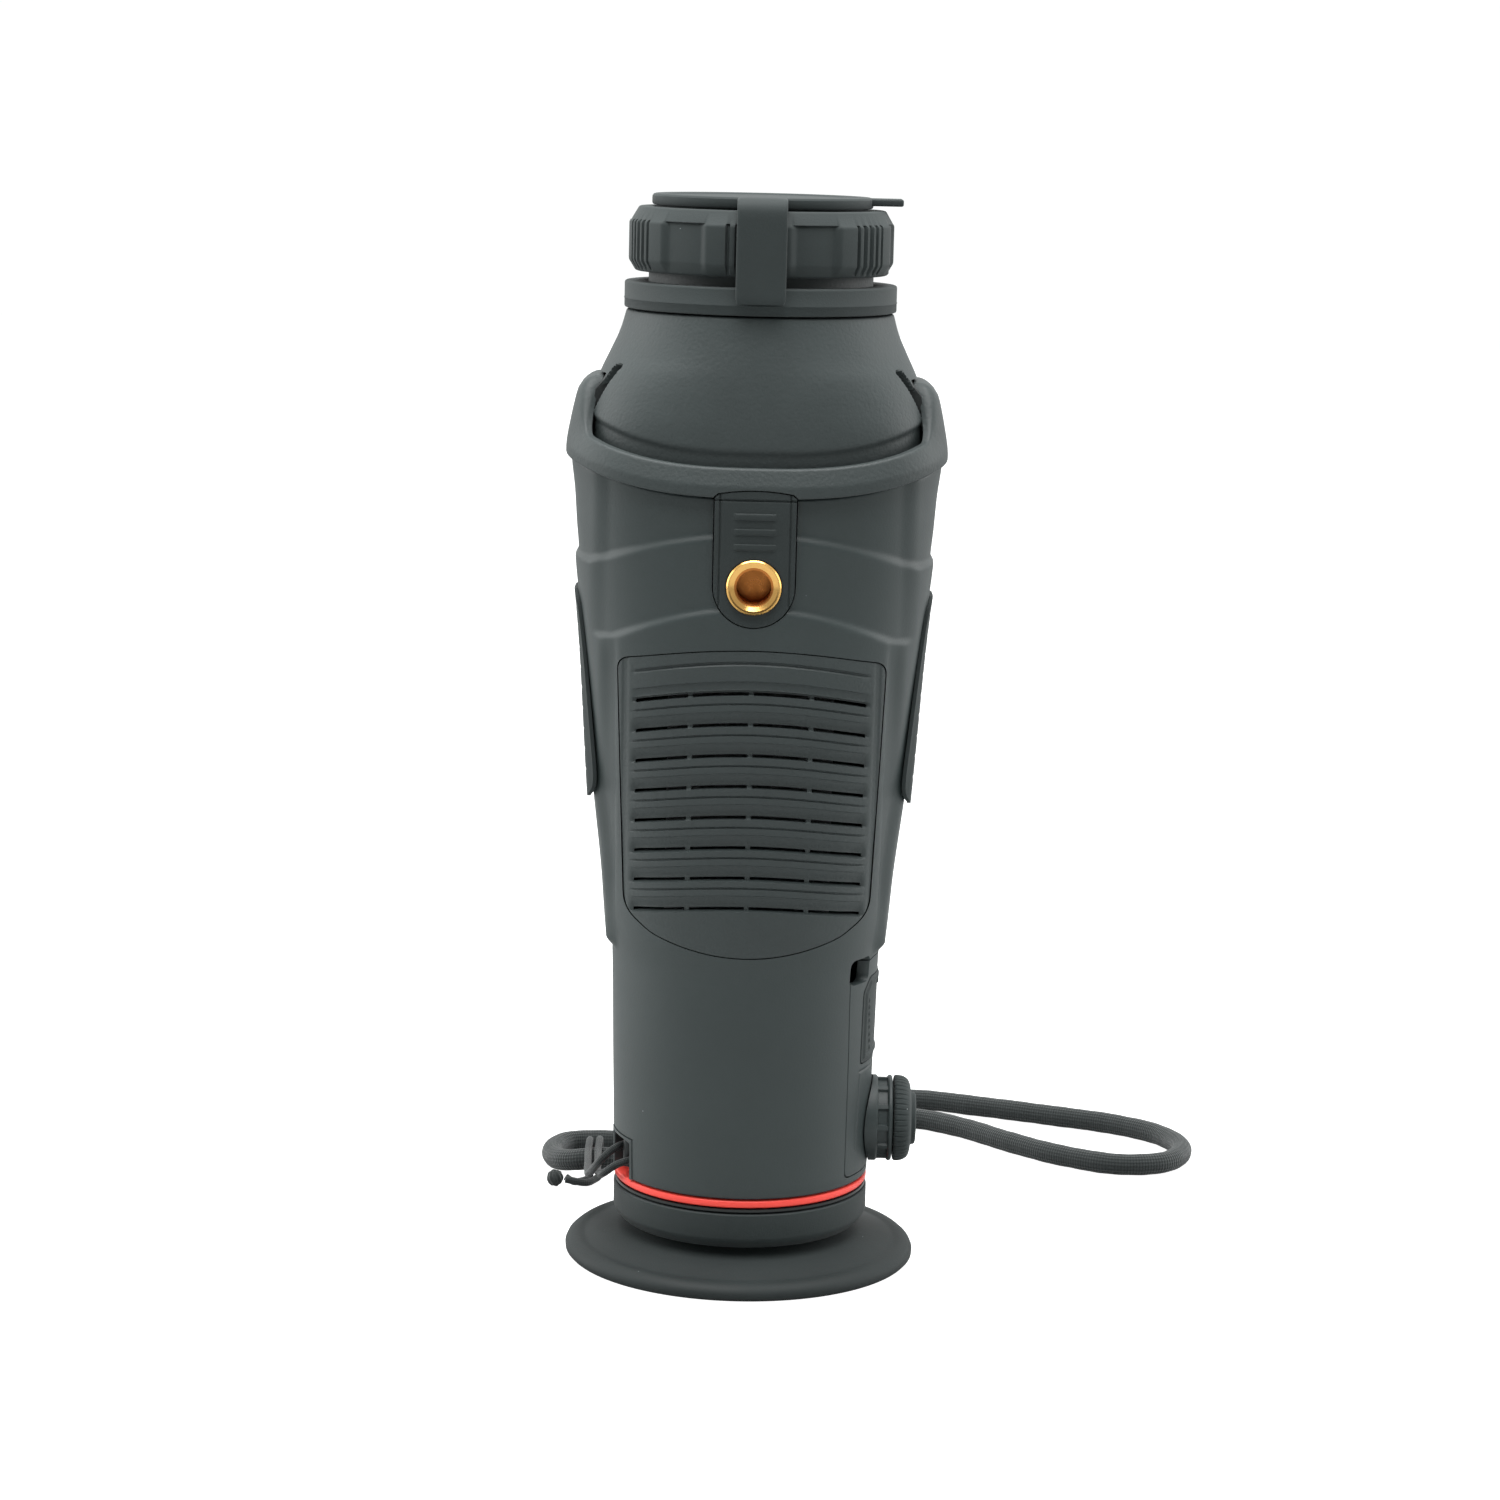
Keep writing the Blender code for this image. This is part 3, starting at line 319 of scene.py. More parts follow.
def new_group(name, inputs, outputs):
    """An empty node group with these sockets."""
    group = bpy.data.node_groups.new(name, "ShaderNodeTree")
    for label, kind, default in inputs:
        socket = group.interface.new_socket(label, in_out="INPUT", socket_type="NodeSocket" + kind)
        if default is not None:
            socket.default_value = default
    for label, kind in outputs:
        group.interface.new_socket(label, in_out="OUTPUT", socket_type="NodeSocket" + kind)
    return group, group.nodes.new("NodeGroupInput"), group.nodes.new("NodeGroupOutput")


# %% The skin group
def skin_group():
    """Grain, wandering gloss and pale specks for plastic and rubber."""
    group, given, result = new_group("moulded_skin", (
        ("Colour", "Color", (0.05, 0.06, 0.06, 1)), ("Roughness", "Float", 0.5),
        ("Grain Scale", "Float", 2500.0), ("Speck Scale", "Float", 420.0),
        ("Specks", "Float", 0.3), ("Variation", "Float", 0.2),
    ), (("Colour", "Color"), ("Roughness", "Float"), ("Height", "Float")))
    place = add(group, "TexCoord")
    grain = add(group, "TexNoise", detail=2.0, roughness=0.6)
    pits = add(group, "TexVoronoi", feature="SMOOTH_F1")
    clouds = add(group, "TexNoise", scale=28.0, detail=4.0, roughness=0.6)
    specks = add(group, "TexVoronoi", feature="F1", randomness=1.0)
    dot = add(group, "MapRange", from_min=0.055, from_max=0.02)
    chance = add(group, "Math", operation="LESS_THAN")
    shown = add(group, "Math", operation="MULTIPLY")
    uneven = add(group, "MapRange", from_min=0.3, from_max=0.7, to_min=-1.0, to_max=1.0)
    vary = add(group, "Math", operation="MULTIPLY")
    bright = add(group, "Math", operation="ADD", use_clamp=False)
    bright.inputs[1].default_value = 1.0
    tinted = add(group, "VectorMath", operation="SCALE")
    pale = add(group, "Mix", data_type="RGBA")
    pale.inputs["B"].default_value = (0.33, 0.36, 0.36, 1)
    gloss = add(group, "Math", operation="MULTIPLY_ADD")
    gloss.inputs[1].default_value = 0.35
    joined(group,
           (place.outputs["Object"], grain.inputs["Vector"]),
           (place.outputs["Object"], pits.inputs["Vector"]),
           (place.outputs["Object"], clouds.inputs["Vector"]),
           (place.outputs["Object"], specks.inputs["Vector"]),
           (given.outputs["Grain Scale"], grain.inputs["Scale"]),
           (given.outputs["Grain Scale"], pits.inputs["Scale"]),
           (given.outputs["Speck Scale"], specks.inputs["Scale"]),
           (specks.outputs["Distance"], dot.inputs["Value"]),
           (specks.outputs["Color"], chance.inputs[0]),
           (given.outputs["Specks"], chance.inputs[1]),
           (dot.outputs["Result"], shown.inputs[0]),
           (chance.outputs["Value"], shown.inputs[1]),
           (clouds.outputs["Fac"], uneven.inputs["Value"]),
           (uneven.outputs["Result"], vary.inputs[0]),
           (given.outputs["Variation"], vary.inputs[1]),
           (vary.outputs["Value"], bright.inputs[0]),
           (given.outputs["Colour"], tinted.inputs[0]),
           (bright.outputs["Value"], tinted.inputs["Scale"]),
           (tinted.outputs["Vector"], pale.inputs["A"]),
           (shown.outputs["Value"], pale.inputs["Factor"]),
           (pale.outputs["Result"], result.inputs["Colour"]),
           (vary.outputs["Value"], gloss.inputs[0]),
           (given.outputs["Roughness"], gloss.inputs[2]),
           (gloss.outputs["Value"], result.inputs["Roughness"]))
    height = add(group, "Math", operation="ADD")
    joined(group, (grain.outputs["Fac"], height.inputs[0]), (pits.outputs["Distance"], height.inputs[1]),
           (height.outputs["Value"], result.inputs["Height"]))
    return group


SKIN = skin_group()


def moulded(name, colour, roughness, grain=2500.0, depth=0.00003, specks=0.2, variation=0.12,
            specular=0.5, sheen=0.0):
    """A moulded plastic or rubber; depth is the height of the grain in metres."""
    material = bpy.data.materials.new(name)
    material.use_nodes = True
    tree = material.node_tree
    shader = tree.nodes["Principled BSDF"]
    skin = tree.nodes.new("ShaderNodeGroup")
    skin.node_tree = SKIN
    skin.inputs["Colour"].default_value = (*colour, 1)
    skin.inputs["Roughness"].default_value = roughness
    skin.inputs["Grain Scale"].default_value = grain
    skin.inputs["Specks"].default_value = specks
    skin.inputs["Variation"].default_value = variation
    bump = tree.nodes.new("ShaderNodeBump")
    bump.inputs["Strength"].default_value = 0.6
    bump.inputs["Distance"].default_value = depth
    shader.inputs["Specular IOR Level"].default_value = specular
    shader.inputs["Sheen Weight"].default_value = sheen
    joined(tree, (skin.outputs["Colour"], shader.inputs["Base Color"]),
           (skin.outputs["Roughness"], shader.inputs["Roughness"]),
           (skin.outputs["Height"], bump.inputs["Height"]),
           (bump.outputs["Normal"], shader.inputs["Normal"]))
    return material


shell_plastic = moulded("shell_plastic", (0.030, 0.041, 0.041), 0.50, grain=2600, depth=0.00002,
                        specks=0.05, variation=0.10)
head_plastic = moulded("head_plastic", (0.033, 0.043, 0.043), 0.58, grain=1500, depth=0.00008,
                       specks=0.06, variation=0.14)
grip_rubber = moulded("grip_rubber", (0.026, 0.034, 0.034), 0.72, grain=3200, depth=0.00003,
                      specks=0.22, variation=0.16, specular=0.35, sheen=0.05)
cup_rubber = moulded("cup_rubber", (0.014, 0.019, 0.019), 0.66, grain=2200, depth=0.00003,
                     specks=0.30, variation=0.18, specular=0.35)
dark_inside = moulded("dark_inside", (0.010, 0.013, 0.013), 0.60, grain=1800, depth=0.00004,
                      specks=0.02)
signal_red = moulded("signal_red", (1.0, 0.075, 0.055), 0.42, grain=2400, depth=0.00001,
                     specks=0.02, variation=0.05)
print("plastics and rubbers are ready")

# %% [markdown]
# Turned metal shows rings round the lathe's axis, so its group measures the distance from an axis
# and feeds that to a stretched noise. The same group serves brushed and drawn metal with its
# rings turned off. Glass is clear with a faint film of dust that only changes its roughness.

# %% Metal and glass
def lathe_marks_group():
    """Rings round an axis, with a little stain; the axis is the Z of the mapped place."""
    group, given, result = new_group("lathe_marks", (
        ("Place", "Vector", None), ("Colour", "Color", (0.8, 0.8, 0.8, 1)),
        ("Roughness", "Float", 0.3), ("Rings", "Float", 2500.0), ("Stain", "Float", 0.2),
    ), (("Colour", "Color"), ("Roughness", "Float"), ("Height", "Float")))
    flat = add(group, "VectorMath", operation="MULTIPLY")
    flat.inputs[1].default_value = (1, 1, 0)
    radius = add(group, "VectorMath", operation="LENGTH")
    parts = add(group, "SeparateXYZ")
    both = add(group, "CombineXYZ")
    rings = add(group, "TexNoise", detail=3.0, roughness=0.7)
    clouds = add(group, "TexNoise", scale=260.0, detail=5.0, roughness=0.65)
    uneven = add(group, "MapRange", from_min=0.35, from_max=0.7, to_min=0.0, to_max=1.0)
    share = add(group, "Math", operation="MULTIPLY")
    dark = add(group, "VectorMath", operation="SCALE")
    less = add(group, "MapRange", from_min=0.0, from_max=1.0, to_min=1.0, to_max=0.55)
    gloss = add(group, "Math", operation="MULTIPLY_ADD")
    gloss.inputs[1].default_value = 0.3
    joined(group,
           (given.outputs["Place"], flat.inputs[0]), (flat.outputs["Vector"], radius.inputs[0]),
           (given.outputs["Place"], parts.inputs["Vector"]),
           (radius.outputs["Value"], both.inputs["X"]), (parts.outputs["Z"], both.inputs["Z"]),
           (both.outputs["Vector"], rings.inputs["Vector"]),
           (given.outputs["Rings"], rings.inputs["Scale"]),
           (given.outputs["Place"], clouds.inputs["Vector"]),
           (clouds.outputs["Fac"], uneven.inputs["Value"]),
           (uneven.outputs["Result"], share.inputs[0]), (given.outputs["Stain"], share.inputs[1]),
           (share.outputs["Value"], less.inputs["Value"]),
           (given.outputs["Colour"], dark.inputs[0]), (less.outputs["Result"], dark.inputs["Scale"]),
           (dark.outputs["Vector"], result.inputs["Colour"]),
           (share.outputs["Value"], gloss.inputs[0]), (given.outputs["Roughness"], gloss.inputs[2]),
           (gloss.outputs["Value"], result.inputs["Roughness"]),
           (rings.outputs["Fac"], result.inputs["Height"]))
    return group


LATHE_MARKS = lathe_marks_group()


def metal(name, colour, roughness, rings=2500.0, depth=0.00001, stain=0.2, metallic=1.0,
          centre=(0, 0, 0), axis="Z", specular=0.5):
    """A metal or a coloured coat on it; rings run round the axis through the centre."""
    material = bpy.data.materials.new(name)
    material.use_nodes = True
    tree = material.node_tree
    shader = tree.nodes["Principled BSDF"]
    place = add(tree, "TexCoord")
    moved = add(tree, "Mapping", vector_type="TEXTURE")
    moved.inputs["Location"].default_value = Vector(centre) * MM
    moved.inputs["Rotation"].default_value = {
        "X": (0, math.pi / 2, 0), "Y": (math.pi / 2, 0, 0), "Z": (0, 0, 0)}[axis]
    marks = tree.nodes.new("ShaderNodeGroup")
    marks.node_tree = LATHE_MARKS
    marks.inputs["Colour"].default_value = (*colour, 1)
    marks.inputs["Roughness"].default_value = roughness
    marks.inputs["Rings"].default_value = rings
    marks.inputs["Stain"].default_value = stain
    bump = tree.nodes.new("ShaderNodeBump")
    bump.inputs["Strength"].default_value = 0.7
    bump.inputs["Distance"].default_value = depth
    shader.inputs["Metallic"].default_value = metallic
    shader.inputs["Specular IOR Level"].default_value = specular
    joined(tree, (place.outputs["Object"], moved.inputs["Vector"]),
           (moved.outputs["Vector"], marks.inputs["Place"]),
           (marks.outputs["Colour"], shader.inputs["Base Color"]),
           (marks.outputs["Roughness"], shader.inputs["Roughness"]),
           (marks.outputs["Height"], bump.inputs["Height"]),
           (bump.outputs["Normal"], shader.inputs["Normal"]))
    return material


def glass(name, tint, roughness, clear=1.0, coat=0.0):
    """Glass with a film of dust; clear is how much light goes through."""
    material = bpy.data.materials.new(name)
    material.use_nodes = True
    tree = material.node_tree
    shader = tree.nodes["Principled BSDF"]
    place = add(tree, "TexCoord")
    film = add(tree, "TexNoise", scale=900.0, detail=3.0, roughness=0.6)
    dust = add(tree, "MapRange", from_min=0.4, from_max=0.75, to_min=roughness,
               to_max=roughness + 0.08)
    shader.inputs["Base Color"].default_value = (*tint, 1)
    shader.inputs["Transmission Weight"].default_value = clear
    shader.inputs["Coat Weight"].default_value = coat
    joined(tree, (place.outputs["Object"], film.inputs["Vector"]),
           (film.outputs["Fac"], dust.inputs["Value"]),
           (dust.outputs["Result"], shader.inputs["Roughness"]))
    return material


turned_brass = metal("turned_brass", (0.90, 0.52, 0.16), 0.17, rings=5200, depth=0.000012,
                     stain=0.15, centre=(0, 0, 135.2), axis="Y")
bore_brass = metal("bore_brass", (0.55, 0.20, 0.05), 0.24, rings=2600, depth=0.00002,
                   stain=0.5, centre=(0, 0, 135.2), axis="Y")
black_anodised = metal("black_anodised", (0.020, 0.024, 0.024), 0.34, rings=3800,
                       depth=0.000006, metallic=0.3)
cast_aluminium = metal("cast_aluminium", (0.62, 0.63, 0.64), 0.42, rings=900, depth=0.00003,
                       stain=0.3)
plain_steel = metal("plain_steel", (0.56, 0.56, 0.57), 0.26, rings=3000, stain=0.2)
circuit_board = metal("circuit_board", (0.012, 0.085, 0.045), 0.32, rings=1500, depth=0.00002,
                      stain=0.4, metallic=0.0)
battery_wrap = metal("battery_wrap", (0.05, 0.13, 0.36), 0.36, rings=1200, stain=0.15,
                     metallic=0.0, centre=(0, 0, 0))
window_glass = glass("window_glass", (0.25, 0.30, 0.33), 0.03, clear=0.7, coat=0.5)
eye_glass = glass("eye_glass", (0.92, 0.97, 0.95), 0.01)
coated_lens = glass("coated_lens", (0.035, 0.022, 0.045), 0.03, clear=0.0, coat=1.0)
print("metals and glass are ready")

# %% [markdown]
# ## Wrist cord
#
# The cord is a soft core in a woven cover. It lies behind the body in a loop, both ends sunk in a
# rubber ferrule. A thin doubled string goes from the lug's pin over the cord, round it, and into a
# knot. A bevelled curve would be quicker, but a tube swept by hand carries its own map: how far
# along and how far round. The weave is raised on that map, with painted shade: its colour is darker
# where it sinks and paler where it rises, so both follow every bend.

# %% The cord's route, as in the CAD model
CORD_DIAMETER = 4.5
STRING_DIAMETER = 1.5
LUG_ANGLE = math.radians(199)
CORD_ROUTE = (
    (-2.4, 62.8, 3.4), (-9.0, 58.2, 3.0), (-17.0, 52.4, 2.9), (-24.0, 47.2, 4.1),
    (-30.3, 44.0, 4.8), (-35.6, 46.0, 3.7), (-39.0, 51.6, 2.5), (-39.9, 58.4, 2.3),
    (-37.2, 64.4, 2.3), (-31.8, 66.0, 2.3), (-25.0, 66.8, 2.3), (-12.0, 76.2, 2.3),
    (5.0, 91.0, 2.3), (20.0, 101.6, 2.3), (39.0, 105.6, 2.3), (53.0, 101.2, 2.3),
    (68.5, 95.0, 2.3), (83.0, 88.4, 2.3), (91.8, 80.6, 2.3), (95.2, 69.6, 2.3),
    (90.6, 59.8, 2.3), (80.8, 57.2, 2.3), (68.8, 63.0, 2.3), (58.4, 72.4, 2.3),
    (48.6, 83.0, 2.3), (38.5, 89.6, 2.3), (27.6, 88.4, 2.3), (18.2, 78.6, 2.6),
    (8.4, 70.2, 3.4),
)
HITCH = (-30.5, 44.0)


def lug_place(radial, round_the_barrel, height):
    """A point given in the strap lug's own directions."""
    cosine, sine = math.cos(LUG_ANGLE), math.sin(LUG_ANGLE)
    return (radial * cosine - round_the_barrel * sine, radial * sine + round_the_barrel * cosine,
            height)


def string_route(side):
    """One strand: from behind the lug pin, over the cord, round it and into the knot."""
    x, y = HITCH
    x -= side
    y += 0.3 - side * 0.3
    wrap = CORD_DIAMETER / 2 + STRING_DIAMETER / 2 + 0.9
    middle = 4.8
    return (
        lug_place(20.95, side * -0.9, 21.4 + side * 0.9), lug_place(21.9, side * -2.1, 21.4 + side * 0.9),
        lug_place(23.4, side * -2.4, 21.2 + side * 0.9), lug_place(25.8, side * -1.7, 20.4 + side * 1.0),
        lug_place(28.0, side * -0.9 - 1.0, 18.4 + side * 1.1), (-28.6 - side * 1.0, 1.5, 14.2),
        (-29.6 - side * 1.0, 14.0, 10.9), (-30.1 - side * 1.0, 27.0, 9.3), (x, y - 7.5, 8.5),
        (x, y - 3.4, 8.7), (x, y, middle + wrap), (x, y + wrap * 0.72, middle + wrap * 0.72),
        (x, y + wrap, middle), (x, y + wrap * 0.72, middle - wrap * 0.70), (x, y, middle - wrap),
        (x - 0.9, y - 3.3, 0.95), (x - 2.8 - side * 0.3, y - 5.6 + side * 0.6, 1.1),
        (-36.2, 38.6 + side * 0.85, 1.9),
    )


# %% A smooth line through given points
def smooth_route(points, spacing):
    """Evenly spaced points on a centripetal curve through these, in millimetres."""
    knots = [Vector(p) for p in points]
    knots = [2 * knots[0] - knots[1]] + knots + [2 * knots[-1] - knots[-2]]
    dense = []
    for k in range(1, len(knots) - 2):
        p0, p1, p2, p3 = knots[k - 1:k + 3]
        t1 = (p1 - p0).length ** 0.5
        t2 = t1 + (p2 - p1).length ** 0.5
        t3 = t2 + (p3 - p2).length ** 0.5
        for i in range(20):
            t = t1 + (t2 - t1) * i / 20
            a1 = p0 * (t1 - t) / t1 + p1 * t / t1
            a2 = p1 * (t2 - t) / (t2 - t1) + p2 * (t - t1) / (t2 - t1)
            a3 = p2 * (t3 - t) / (t3 - t2) + p3 * (t - t2) / (t3 - t2)
            b1 = a1 * (t2 - t) / t2 + a2 * t / t2
            b2 = a2 * (t3 - t) / (t3 - t1) + a3 * (t - t1) / (t3 - t1)
            dense.append(b1 * (t2 - t) / (t2 - t1) + b2 * (t - t1) / (t2 - t1))
    dense.append(knots[-2])
    lengths = [0.0]
    for a, b in zip(dense, dense[1:]):
        lengths.append(lengths[-1] + (b - a).length)
    count = round(lengths[-1] / spacing)
    route, k = [], 0
    for i in range(count + 1):
        goal = lengths[-1] * i / count
        while k < len(lengths) - 2 and lengths[k + 1] < goal:
            k += 1
        route.append(dense[k].lerp(dense[k + 1], (goal - lengths[k]) / (lengths[k + 1] - lengths[k])))
    return route


# %% A tube with its own map
def swept(name, points, diameter, spacing, sides, lump=0.0):
    """A closed tube along a route, with a map of the way along and round, in diameters."""
    route = smooth_route(points, spacing)
    bpy.ops.object.select_all(action="DESELECT")
    bpy.ops.mesh.primitive_grid_add(x_subdivisions=sides, y_subdivisions=len(route) - 1, size=2)
    obj = bpy.context.object
    obj.name = name
    edit(obj)
    bpy.ops.object.mode_set(mode="OBJECT")
    grid_map = obj.data.uv_layers.active
    grid_map.name = "along"
    frames = []
    side = Vector((0, 0, 1)).cross(route[1] - route[0]).normalized()
    for k, point in enumerate(route):
        ahead = (route[min(k + 1, len(route) - 1)] - route[max(k - 1, 0)]).normalized()
        side = (side - ahead * side.dot(ahead)).normalized()
        frames.append((point, side, ahead.cross(side)))
    length = sum((b - a).length for a, b in zip(route, route[1:]))
    for vertex in obj.data.vertices:
        share = (vertex.co.y + 1) / 2
        k = round(share * (len(route) - 1))
        angle = math.pi * (vertex.co.x + 1)
        point, side, up = frames[k]
        radius = diameter / 2 * (1 + lump * math.sin(k * 0.9) * math.sin(k * 0.37 + 1))
        vertex.co = (point + (side * math.cos(angle) + up * math.sin(angle)) * radius) * MM
    for entry in grid_map.data:
        entry.uv = (entry.uv.x, entry.uv.y * length / diameter)
    edit(obj)
    bpy.ops.mesh.remove_doubles(threshold=0.000001)
    bpy.ops.mesh.select_mode(type="EDGE")
    bpy.ops.mesh.select_all(action="DESELECT")
    bpy.ops.mesh.select_non_manifold()
    bpy.ops.mesh.extrude_region_move()
    bpy.ops.mesh.edge_collapse()
    leave_edit()
    path = [tuple(p * MM) for p in route]
    print(name, "is", round(length, 1), "mm long")
    return obj, path, length * MM


# %% Weave and the cord's material
def weave_group():
    """Two sets of crossing strands on a tube's own map; Shade is painted shade that follows the height."""
    group, given, result = new_group("woven_cover", (
        ("Strands", "Float", 8.0), ("Steps", "Float", 3.0),
    ), (("Height", "Float"), ("Shade", "Float")))
    tube_map = add(group, "UVMap")
    tube_map.uv_map = "along"
    split = add(group, "SeparateXYZ")
    round_it = add(group, "Math", operation="MULTIPLY")
    along = add(group, "Math", operation="MULTIPLY")
    first = add(group, "Math", operation="ADD")
    second = add(group, "Math", operation="SUBTRACT")
    waves = []
    for source in (first, second):
        turn = add(group, "Math", operation="MULTIPLY")
        turn.inputs[1].default_value = math.tau
        wave = add(group, "Math", operation="SINE")
        joined(group, (source.outputs["Value"], turn.inputs[0]), (turn.outputs["Value"], wave.inputs[0]))
        waves.append(wave)
    crossing = add(group, "Math", operation="MULTIPLY")
    height = add(group, "MapRange", from_min=-1.0, from_max=1.0)
    fuzz = add(group, "TexNoise", scale=2600.0, detail=3.0)
    place = add(group, "TexCoord")
    rough = add(group, "Math", operation="MULTIPLY_ADD")
    rough.inputs[1].default_value = 0.6
    joined(group, (tube_map.outputs["UV"], split.inputs["Vector"]),
           (split.outputs["X"], round_it.inputs[0]), (given.outputs["Strands"], round_it.inputs[1]),
           (split.outputs["Y"], along.inputs[0]), (given.outputs["Steps"], along.inputs[1]),
           (round_it.outputs["Value"], first.inputs[0]), (along.outputs["Value"], first.inputs[1]),
           (round_it.outputs["Value"], second.inputs[0]), (along.outputs["Value"], second.inputs[1]),
           (waves[0].outputs["Value"], crossing.inputs[0]),
           (waves[1].outputs["Value"], crossing.inputs[1]),
           (crossing.outputs["Value"], height.inputs["Value"]),
           (place.outputs["Object"], fuzz.inputs["Vector"]),
           (fuzz.outputs["Fac"], rough.inputs[0]), (height.outputs["Result"], rough.inputs[2]),
           (rough.outputs["Value"], result.inputs["Height"]),
           (height.outputs["Result"], result.inputs["Shade"]))
    return group


WEAVE = weave_group()


def woven(name, deep, pale, strands, steps, depth):
    """A braided cover, its colour painted darker in the weave's hollows and paler on its crests."""
    material = bpy.data.materials.new(name)
    material.use_nodes = True
    tree = material.node_tree
    shader = tree.nodes["Principled BSDF"]
    weave = tree.nodes.new("ShaderNodeGroup")
    weave.node_tree = WEAVE
    weave.inputs["Strands"].default_value = strands
    weave.inputs["Steps"].default_value = steps
    # painted shade: the deep colour fills the weave's hollows and the pale one its crests
    weave_painted_shade = add(tree, "Mix", data_type="RGBA")
    weave_painted_shade.inputs["A"].default_value = (*deep, 1)
    weave_painted_shade.inputs["B"].default_value = (*pale, 1)
    bump = tree.nodes.new("ShaderNodeBump")
    bump.inputs["Distance"].default_value = depth
    shader.inputs["Roughness"].default_value = 0.82
    shader.inputs["Sheen Weight"].default_value = 0.25
    shader.inputs["Sheen Roughness"].default_value = 0.5
    shader.inputs["Specular IOR Level"].default_value = 0.25
    joined(tree, (weave.outputs["Shade"], weave_painted_shade.inputs["Factor"]),
           (weave_painted_shade.outputs["Result"], shader.inputs["Base Color"]),
           (weave.outputs["Height"], bump.inputs["Height"]),
           (bump.outputs["Normal"], shader.inputs["Normal"]))
    return material


cord_cover = woven("cord_cover", (0.014, 0.018, 0.018), (0.034, 0.040, 0.040), 10, 4.0, 0.00016)
string_cover = woven("string_cover", (0.012, 0.015, 0.015), (0.034, 0.040, 0.040), 6, 2.2, 0.00008)

# %% [markdown]
# The ferrule is a short rubber sleeve with rounded ends and three shallow grips. The knot is a
# ball of the same string: a coarse sphere whose faces are pinched along two crossing bands.

# %% Cord, ferrule, strings and knot
FERRULE_CENTRE = Vector((3.0, 66.5, 3.4))
FERRULE_DIRECTION = Vector((0.823, 0.568, 0.0)).normalized()
FERRULE_LENGTH = 12.0
FERRULE_RADIUS = 3.3
cord, cord_path, cord_length = swept("wrist_cord_cover", CORD_ROUTE, CORD_DIAMETER, 0.9, 24, 0.02)
finish(cord, cord_cover, "housing", "cord", "wrist_cord")

half = FERRULE_LENGTH / 2
profile = [(0, -half), (FERRULE_RADIUS - 0.5, -half)]
for k in range(3):
    middle = -2.4 + 2.4 * k
    profile += [(FERRULE_RADIUS, middle - 0.8), (FERRULE_RADIUS, middle - 0.4),
                (FERRULE_RADIUS - 0.35, middle), (FERRULE_RADIUS, middle + 0.4)]
profile += [(FERRULE_RADIUS - 0.5, half), (0, half)]
turn = FERRULE_DIRECTION.to_track_quat("Z", "Y").to_matrix().to_4x4()
place = Matrix.Translation(FERRULE_CENTRE * MM) @ turn
ferrule = lathe("ferrule", soften(profile, 0.4, 3, cyclic=False), sides=48, closed=False, place=place)
finish(ferrule, grip_rubber, "housing", "rubber", "cord_ferrule")

bpy.ops.object.select_all(action="DESELECT")
knot_low, knot_high = low("string_knot"), high("string_knot")
knot_centre = (knot_low + knot_high) / 2
knot_radius = (knot_high.x - knot_low.x) / 2
bpy.ops.mesh.primitive_ico_sphere_add(subdivisions=5, radius=knot_radius * MM)
knot = bpy.context.object
knot.name = "knot"
for vertex in knot.data.vertices:
    way = vertex.co.normalized()
    turns = math.cos(9 * math.atan2(way.y, way.x) + 5 * way.z) + math.cos(8 * way.x + 7 * way.y)
    vertex.co = way * knot_radius * MM * (0.93 + 0.035 * turns)
edit(knot)
bpy.ops.transform.translate(value=knot_centre * MM)
leave_edit()
finish(knot, string_cover, "housing", "cord", "string_knot")

strings = []
for side, label in ((-1, "a"), (1, "b")):
    strand, path, length = swept("string_" + label, string_route(side), STRING_DIAMETER, 0.4, 14)
    finish(strand, string_cover, "housing", "cord", "lug_string_" + label)
    strings.append(strand)

# %% [markdown]
# ## The body's surface
#
# The barrel is round, and the head grows into a rounded box with soft ridges at the sides to hold
# it by. A few sections fix that: at each height a half width, a half depth and how square the
# outline is. Two shallow terraces arch over the underside. Everything that sits in the body, such
# as the vent or the side panel, is laid on this same surface, so the seams stay flush.

# %% Sections and the surface between them
BEZEL_SEAM = 151.3
CONE_SEAM = 157.0
SEAM_DROOP = 5.5
SHOULDER_TOP = 171.8
WALL = 2.4
SEAM_GAP = 0.22
BODY = (
    (17.3, 24.8, 24.8, 2.0), (40.0, 25.4, 25.4, 2.0), (60.3, 25.9, 25.9, 2.0), (66.0, 26.4, 26.4, 2.05),
    (90.0, 28.6, 27.7, 2.3), (112.0, 31.0, 28.7, 2.5), (126.0, 32.6, 29.3, 2.65),
    (142.3, 34.5, 30.0, 2.75), (150.3, 35.1, 30.4, 2.8), (157.9, 35.9, 30.5, 2.8),
    (163.0, 35.2, 30.4, 2.8), (169.3, 33.8, 30.0, 2.8), (SHOULDER_TOP, 33.0, 29.8, 2.8),
)
CONE = (
    (150.0, 32.7, 28.0, 2.8), (163.0, 32.4, 27.8, 2.7), (168.5, 31.3, 27.4, 2.55),
    (172.9, 29.7, 26.9, 2.4), (176.3, 28.1, 26.4, 2.2), (180.3, 26.3, 25.7, 2.1),
    (184.1, 25.2, 25.2, 2.0),
)


